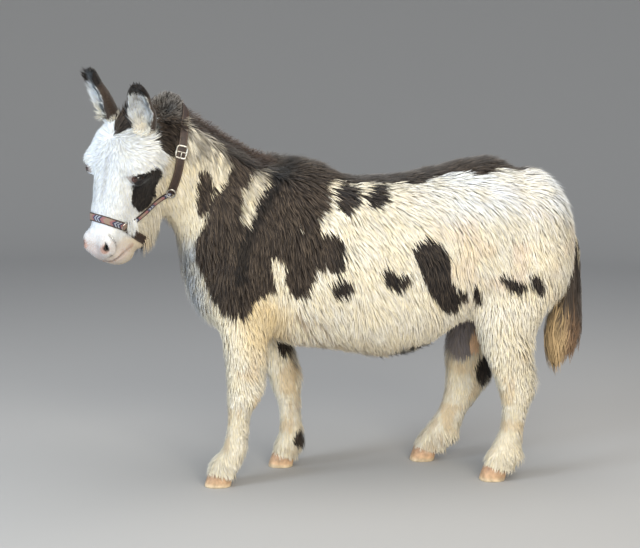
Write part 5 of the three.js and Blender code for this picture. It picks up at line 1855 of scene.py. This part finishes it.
def hoof_surface(y, toe, heel):
    """A hoof: superellipses from the sole up to the slanting coronet, leaning back as they rise,
    with fine growth rings, closed by a sole and a top that draw in to the middle."""
    u = circle(HOOF_COLUMNS)
    square = (np.abs(np.cos(u)) ** HOOF_POWER + np.abs(np.sin(u)) ** HOOF_POWER) ** (-1 / HOOF_POWER)
    cos, sin = np.cos(u) * square, np.sin(u) * square
    middle, length = (toe + heel) / 2, (heel - toe) / 2
    top = HOOF_TOE + (HOOF_HEEL - HOOF_TOE) * (0.5 + 0.5 * cos) - 0.4
    rows = [columns(middle + length * inset * cos, y + HOOF_HALF * inset * sin, 0 * u)
            for inset in (0.15, 0.75)]
    for v in np.linspace(0, 1, HOOF_ROWS):
        z = v * top
        rings = 0.5 * np.sin(z * 1.35 + 0.6 * np.sin(3 * u)) * ramp(v, 0.02, 0.15)
        grow_by = rings - 1.6 * ramp(v, 0.06, 0.0) - 1.5 * ramp(v, 0.93, 1.0) - 0.3
        half = np.interp(z, HOOF_HEIGHTS, HOOF_WIDTH) + grow_by
        run = length - HOOF_TAPER * z + grow_by
        lean = np.interp(z, HOOF_HEIGHTS, HOOF_LEAN)
        rows.append(columns(middle + lean + run * cos, y + half * sin, z))
    last = rows[-1]
    centre = last.mean(axis=0)
    rows += [centre + (last - centre) * 0.5, centre + (last - centre) * 0.02]
    return np.concatenate(rows), grid_faces(len(rows), HOOF_COLUMNS)


def hoof_material():
    """Horn: pinkish tan, paler towards the ground, with stains and fine upright scratches."""
    material, tree = new_material("Hoof horn", Roughness=0.5)
    place = places(tree)
    height = scaled(tree, node(tree, "SeparateXYZ", Vector=place).outputs["Z"], From_Max=0.045)
    horn = tones(tree, height, [(0, (240, 220, 184)), (0.3, (226, 186, 146)), (1, (186, 142, 114))])
    stains = scaled(tree, speckle(tree, place, 60.0, 3.0),
                    From_Min=0.35, From_Max=0.7, To_Min=0.62, To_Max=1.05)
    lines = speckle(tree, stretched(tree, place, 0.2), 500.0, 4.0)
    paint(tree, mixed(tree, horn, stains), lines, 0.35, 0.0006)
    return material


class DONKEY_OT_hooves(bpy.types.Operator):
    """Make the four hooves"""

    bl_idname = "donkey.hooves"
    bl_label = "Hooves"

    def execute(self, context):
        material = hoof_material()
        for name, (y, (toe, heel), _) in LEGS.items():
            piece = new_mesh(f"Hoof_{name}", *hoof_surface(y, toe, heel))
            finish_piece(piece, material, "hoof_horn", f"hoof_{name}")
        return {"FINISHED"}


# ---- halter
NOSE_RING = (52, -72, 137)
CHEEK_RING = (104, -160, 24)
BUCKLE = (121, -140, -88)
STRAP_THICK = 3.4
STRAP_SINK = 0.4
CHEEK_LINE = [NOSE_RING, (64, -108, 104), (78, -140, 62), CHEEK_RING]
CROWN_LINE = [CHEEK_RING, (118, -150, -30), BUCKLE, (104, -150, -140), (60, -170, -200)]


def mirrored(points):
    return [(-side, front, down) for side, front, down in points]


def over_head(half, middle):
    return half + [middle] + mirrored(half)[::-1]


# Each strap: the points of the head that it passes, its width and whether it bears the woven band.
STRAPS = {
    "halter_noseband": (over_head([NOSE_RING, (46, -40, 134), (28, -18, 132)], (0, -14, 131)), 22, True),
    "halter_chin_strap": (
        over_head([NOSE_RING, (56, -112, 152), (44, -190, 172)], (0, -215, 178)), 22, False),
    "halter_cheek_left": (CHEEK_LINE, 14, True),
    "halter_cheek_right": (mirrored(CHEEK_LINE), 14, True),
    "halter_crown": (over_head(CROWN_LINE, (10, -180, -225)), 22, False),
}


def between(t, low, high, a, b):
    """A point that runs from a, at t = low, to b, at t = high."""
    return ((high - t) * a + (t - low) * b) / (high - low)


def run_along(path):
    """How far along the path each of its points is."""
    return np.concatenate([[0], np.cumsum(norm(np.diff(path, axis=0)))])


def curve_through(points, steps):
    """A Catmull-Rom curve through the points with knots at the root of the gaps, at even lengths."""
    p = np.array([on_head(*q) for q in points])
    p = np.concatenate([[2 * p[0] - p[1]], p, [2 * p[-1] - p[-2]]])
    knot = np.concatenate([[0], np.cumsum(np.sqrt(norm(np.diff(p, axis=0))))])
    fine = []
    for i in range(len(p) - 3):
        k, q = knot[i:i + 4], p[i:i + 4]
        t = np.linspace(k[1], k[2], 40, endpoint=False)[:, None]
        a = [between(t, k[j], k[j + 1], q[j], q[j + 1]) for j in range(3)]
        b = [between(t, k[j], k[j + 2], a[j], a[j + 1]) for j in range(2)]
        fine.append(between(t, k[1], k[2], b[0], b[1]))
    fine = np.concatenate(fine + [p[-2:-1]])
    run = run_along(fine)
    even = np.linspace(0, run[-1], steps)
    return np.stack([np.interp(even, run, fine[:, a]) for a in range(3)], axis=-1)


def strap_frames(points, steps=90):
    """Where a strap lies on the coat: places, ways along, ways out and ways across."""
    path = settle(outline, curve_through(points, steps), 6, 12)
    out = unit(slope(outline, path, 5))
    for _ in range(8):
        padded = np.concatenate([out[:1], out, out[-1:]])
        out = unit(padded[:-2] + 2 * out + padded[2:])
    for _ in range(3):
        path[1:-1] = 0.25 * path[:-2] + 0.5 * path[1:-1] + 0.25 * path[2:]
    along = unit(np.gradient(path, axis=0))
    out = across(out, along)
    return path, along, out, np.cross(out, along)


def strap_surface(frames, width, low, high, round_off=1.0):
    """A flat strap with rounded edges: the section's points are carried by the frames."""
    path, _, out, aside = frames
    turn = np.linspace(0, math.pi / 2, 4)
    section = []
    for start, (cx, cz) in enumerate(((1, 1), (-1, 1), (-1, -1), (1, -1))):
        angle = turn + start * math.pi / 2
        x = cx * (width / 2 - round_off) + round_off * np.cos(angle)
        z = cz * ((high - low) / 2 - round_off) + round_off * np.sin(angle)
        section.append(columns(x, z + (high + low) / 2))
    section = np.concatenate(section)
    grid = path[:, None] + aside[:, None] * section[None, :, 0:1] + out[:, None] * section[None, :, 1:2]
    uv = columns(run_along(path)[:, None] * MM, section[None, :, 0] * MM)
    ends = [mix(row.mean(axis=0), row, 0.02)[None] for row in (grid[0], grid[-1])]
    grid = np.concatenate([ends[0], grid, ends[1]])
    uv = np.concatenate([uv[:1], uv, uv[-1:]])
    return grid.reshape(-1, 3), grid_faces(len(grid), len(section)), uv.reshape(-1, 2)


def leather_material(brown):
    """Oiled leather: mottled brown with grain, and two rows of stitches by the map."""
    material, tree = new_material("Strap leather", Roughness=0.5)
    place = places(tree)
    mottle = scaled(tree, speckle(tree, place, 90.0, 5.0),
                    From_Min=0.3, From_Max=0.7, To_Min=0.55, To_Max=1.5)
    grain = node(tree, "TexVoronoi", Vector=place, Scale=1400.0).outputs["Distance"]
    stitches = placed_group(tree, "Stitches", stitch_group, Edge=0.0085)["Mask"]
    thread = (*linear((120, 98, 74)), 1)
    leather = mixed(tree, (*brown, 1), mottle)
    paint(tree, mixed(tree, leather, thread, stitches, "MIX"), grain, 0.3, 0.0004)
    return material


def strap_map(tree):
    """The strap's map in metres: its places, and the ways along and across."""
    place = node(tree, "UVMap", [("uv_map", "Strap")]).outputs["UV"]
    split = node(tree, "SeparateXYZ", Vector=place).outputs
    return place, split["X"], sums(tree, "ABSOLUTE", split["Y"])


def stitch_group(name):
    """Two rows of short stitches at a distance from a strap's middle."""
    tree, given, out = new_group(name, {"Edge": 0.009}, ("Mask",))
    _, along, aside = strap_map(tree)
    off = sums(tree, "ABSOLUTE", sums(tree, "SUBTRACT", aside, given["Edge"]))
    dash = sums(tree, "FRACT", sums(tree, "MULTIPLY", along, 1 / 0.004))
    on = sums(tree, "LESS_THAN", dash, 0.68)
    feed(tree, out["Mask"], sums(tree, "MULTIPLY", sums(tree, "LESS_THAN", off, 0.0005), on))
    return tree


def band_material(ground, first, second):
    """Woven band: chevrons in three colours on a ground, from the strap's map, with a weave."""
    material, tree = new_material("Woven band", Roughness=0.75)
    place, along, aside = strap_map(tree)
    turn = sums(tree, "FRACT", sums(tree, "MULTIPLY", sums(tree, "ADD", along, aside), 1 / 0.058))
    woven = (*ground, 1)
    for thread, stretches in (
        (first, ((0.2, 0.36), (0.78, 0.9))),
        (second, ((0.36, 0.78),)),
        (linear((172, 176, 186)), ((0.46, 0.53), (0.61, 0.68))),
    ):
        masks = [sums(tree, "MULTIPLY", sums(tree, "GREATER_THAN", turn, low),
                      sums(tree, "LESS_THAN", turn, high))
                 for low, high in stretches]
        either = sums(tree, "MAXIMUM", masks[0], masks[-1])
        woven = mixed(tree, woven, (*thread, 1), either, "MIX")
    weave = node(tree, "TexWave", Vector=place, Scale=420.0, Distortion=1.0).outputs["Fac"]
    paint(tree, mixed(tree, woven, scaled(tree, weave, To_Min=0.8)), weave, 0.3, 0.0003)
    return material


def metal_material():
    """Worn nickel: bright and brushed, with dull stains."""
    material, tree = new_material("Worn nickel", Metallic=1.0)
    place = places(tree)
    stains = speckle(tree, place, 160.0, 4.0)
    feed(tree, tree.nodes["Principled BSDF"].inputs["Roughness"],
         scaled(tree, stains, To_Min=0.18, To_Max=0.48))
    paint(tree, tones(tree, stains, [(0.35, (150, 142, 130)), (0.6, (222, 218, 208))]))
    return material


def tube(path, radius, closed, up, sides=12, flat=1.0):
    """A round wire along a path; the sections turn with the path about its own normal."""
    if closed:
        padded = np.concatenate([path[-1:], path, path[:1]])
    else:
        padded = np.concatenate([2 * path[:1] - path[1:2], path, 2 * path[-1:] - path[-2:-1]])
    along = unit(padded[2:] - padded[:-2])
    aside = unit(np.cross(along, up))
    over = np.cross(aside, along)
    turn = circle(sides)[None, :, None]
    ring = aside[:, None] * np.cos(turn) + flat * over[:, None] * np.sin(turn)
    grid = path[:, None] + radius * ring
    if not closed:
        grid = np.concatenate([path[:1, None] + 0 * ring[:1], grid, path[-1:, None] + 0 * ring[:1]])
    return grid.reshape(-1, 3), grid_faces(len(grid), sides, closed)


def seat(point, lift):
    """A place on the coat: its point, the ways along (up the head), aside and out."""
    p = settle(outline, on_head(*point)[None], 6, 12)[0]
    out = unit(slope(outline, p[None], 3))[0]
    along = across(UP, out)
    return p + out * lift, along, np.cross(out, along), out


def ring_surface(point, radius, wire):
    """A ring of round wire lying on the coat."""
    centre, along, aside, out = seat(point, 0.6)
    turn = circle(48)[:, None]
    return tube(centre + radius * (np.cos(turn) * along + np.sin(turn) * aside), wire, True, out)


def buckle_surface():
    """A rounded rectangular frame, its bar, and the tongue that lies over it."""
    centre, along, aside, out = seat(BUCKLE, 1.6)
    turn = circle(64)
    cos, sin = np.cos(turn), np.sin(turn)
    square = (np.abs(cos) ** 5 + np.abs(sin) ** 5) ** (-1 / 5)
    edge = centre + np.outer(16 * cos * square, along) + np.outer(14 * sin * square, aside)
    line = np.linspace(-1, 1, 12)[:, None]
    reach = np.linspace(0, 1, 14)[:, None]
    tongue = centre + out * (1.5 + 1.6 * np.sin(math.pi * reach)) - along * 17 * reach
    return joined([tube(edge, 2.5, True, out, flat=0.8), tube(centre + line * 14 * aside, 1.5, False, out),
                   tube(tongue, 1.4, False, out)])


def joined(pieces):
    starts = np.cumsum([0] + [len(p) for p, _ in pieces])
    faces = [f + start for (_, f), start in zip(pieces, starts)]
    return np.concatenate([p for p, _ in pieces]), np.concatenate(faces)


class DONKEY_OT_halter(bpy.types.Operator):
    """Make the halter: straps, woven bands, rings and the buckle"""

    bl_idname = "donkey.halter"
    bl_label = "Halter"

    def execute(self, context):
        user = context.scene.donkey_halter
        plain = leather_material(user.leather)
        band = band_material(user.ground, user.first, user.second)
        metal = metal_material()
        STORE["straps"] = []
        for name, (points, width, banded) in STRAPS.items():
            frames = strap_frames(points)
            STORE["straps"].append((frames[0][::6], width / 2))
            slot = "pattern_strap" if banded else "leather"
            layers = [("Strap", plain, width, 1.6 - STRAP_SINK - STRAP_THICK, 1.2, 1.0, [name])]
            if banded:
                layers.append(("Band", band, width - 6, 0.2, 1.9, 0.5, []))
            for label, material, wide, low, high, round_off, nodes in layers:
                surface, faces, uv = strap_surface(frames, wide, low, high - STRAP_SINK, round_off)
                piece = new_mesh(name.replace("halter", label), surface, faces)
                set_uv(piece, "Strap", uv)
                finish_piece(piece, material, slot, *nodes)
        for side, sign in (("left", 1), ("right", -1)):
            for label, (a, b, c) in (("nose", NOSE_RING), ("cheek", CHEEK_RING)):
                piece = new_mesh(f"Ring_{label}_{side}", *ring_surface((sign * a, b, c), 11.5, 2.0))
                finish_piece(piece, metal, "metal", f"halter_ring_{label}_{side}")
        finish_piece(new_mesh("Buckle", *buckle_surface()), metal, "metal", "halter_buckle")
        return {"FINISHED"}


# ---- stage
CAMERA_AZIMUTH = math.radians(-8)
CAMERA_DISTANCE = 3.64
CAMERA_HEIGHT = 1.05
CAMERA_TILT = math.radians(7.4)
CAMERA_ROLL = math.radians(0.8)
CAMERA_LENS = 73.1


def camera_matrix():
    """Looks along +Y turned by the azimuth, tilted down and rolled, as the axes of the camera."""
    back = np.array([math.sin(CAMERA_AZIMUTH), -math.cos(CAMERA_AZIMUTH), 0])
    ahead = -back * math.cos(CAMERA_TILT) - Z * math.sin(CAMERA_TILT)
    right = unit(np.cross(ahead, Z))
    up = np.cross(right, ahead)
    c, s = math.cos(CAMERA_ROLL), math.sin(CAMERA_ROLL)
    place = back * CAMERA_DISTANCE + Z * CAMERA_HEIGHT + SHIFT * MM
    matrix = np.eye(4)
    matrix[:3] = np.stack([c * right + s * up, c * up - s * right, -ahead, place], axis=1)
    return Matrix(matrix.tolist())


def area_light(name, place, aim, size, power, colour):
    data = bpy.data.lights.new(name, "AREA")
    data.shape = "DISK"
    data.size = size
    data.energy = power
    data.color = colour
    light = bpy.data.objects.new(name, data)
    bpy.context.scene.collection.objects.link(light)
    light.location = place
    light.rotation_euler = (Vector(aim) - Vector(place)).to_track_quat("-Z", "Y").to_euler()


class DONKEY_OT_stage(bpy.types.Operator):
    """Make the floor, the lights and the camera"""

    bl_idname = "donkey.stage"
    bl_label = "Stage"

    def execute(self, context):
        user = context.scene.donkey_stage
        turn = circle(96)
        bend = np.linspace(0, 1.5, 18)[1:]
        radius = np.concatenate([np.linspace(0.0005, 5.4, 12), 5.4 + 2.6 * np.sin(bend)])[:, None]
        height = np.concatenate([np.zeros(12), 3.6 * (1 - np.cos(bend))])[:, None]
        grid = columns(radius * np.cos(turn), radius * np.sin(turn), height + 0 * turn)
        floor = new_mesh("Floor", grid.reshape(-1, 3) / MM - SHIFT, grid_faces(len(radius), len(turn)))
        floor.data.materials.append(new_material("Floor", Base_Color=(*user.floor, 1), Roughness=0.9)[0])
        area_light("Key", (0.4, -4.1, 2.3), (0, 0, 0.45), 3.2, 1.06 * user.key, (1.0, 0.95, 0.84))
        area_light("Door", (-3.6, -2.0, 1.9), (-0.2, 0, 0.55), 1.6, 0.62 * user.key, (0.74, 0.87, 1.0))
        area_light("Top", (0.5, -0.3, 3.6), (0.1, 0, 0.6), 3.0, 0.36 * user.key, (1.0, 0.98, 0.94))
        context.scene.view_settings.view_transform = "Standard"
        world = bpy.data.worlds.new("Soft light")
        world.use_nodes = True
        sky = world.node_tree.nodes["Background"].inputs
        sky["Color"].default_value = (0.86, 0.92, 1.0, 1)
        sky["Strength"].default_value = 0.5
        context.scene.world = world
        data = bpy.data.cameras.new("Camera")
        data.lens = CAMERA_LENS
        data.sensor_width = 36.0
        camera = bpy.data.objects.new("Camera", data)
        context.scene.collection.objects.link(camera)
        camera.matrix_world = camera_matrix()
        context.scene.camera = camera
        return {"FINISHED"}


# ---- panel and registration
OPERATORS = (DONKEY_OT_skin, DONKEY_OT_eyes, DONKEY_OT_hooves, DONKEY_OT_halter, DONKEY_OT_body_coat,
             DONKEY_OT_leg_coat, DONKEY_OT_head_coat, DONKEY_OT_mane, DONKEY_OT_tail, DONKEY_OT_stage)
SETTINGS = {"donkey_coat": DonkeyCoat, "donkey_halter": DonkeyHalter, "donkey_stage": DonkeyStage}


class DONKEY_PT_panel(bpy.types.Panel):
    """Lists the settings and the pieces in the order in which they are made"""

    bl_label = "Donkey"
    bl_idname = "DONKEY_PT_panel"
    bl_space_type = "VIEW_3D"
    bl_region_type = "UI"
    bl_category = "Donkey"

    def draw(self, context):
        for name, group in SETTINGS.items():
            box = self.layout.box()
            for key in group.__annotations__:
                box.prop(getattr(context.scene, name), key)
        for operator in OPERATORS:
            self.layout.operator(operator.bl_idname)


def register():
    for name, group in SETTINGS.items():
        bpy.utils.register_class(group)
        setattr(bpy.types.Scene, name, PointerProperty(type=group))
    for cls in (*OPERATORS, DONKEY_PT_panel):
        bpy.utils.register_class(cls)


def unregister():
    for cls in reversed((*OPERATORS, DONKEY_PT_panel)):
        bpy.utils.unregister_class(cls)
    for name, group in SETTINGS.items():
        delattr(bpy.types.Scene, name)
        bpy.utils.unregister_class(group)


def main():
    register()
    STORE["hair"] = coat_material("Hair", 0.62, 300.0, 0.22, 0.25, 0.25)
    for operator in OPERATORS:
        group, name = operator.bl_idname.split(".")
        getattr(getattr(bpy.ops, group), name)()


if __name__ == "__main__":
    main()
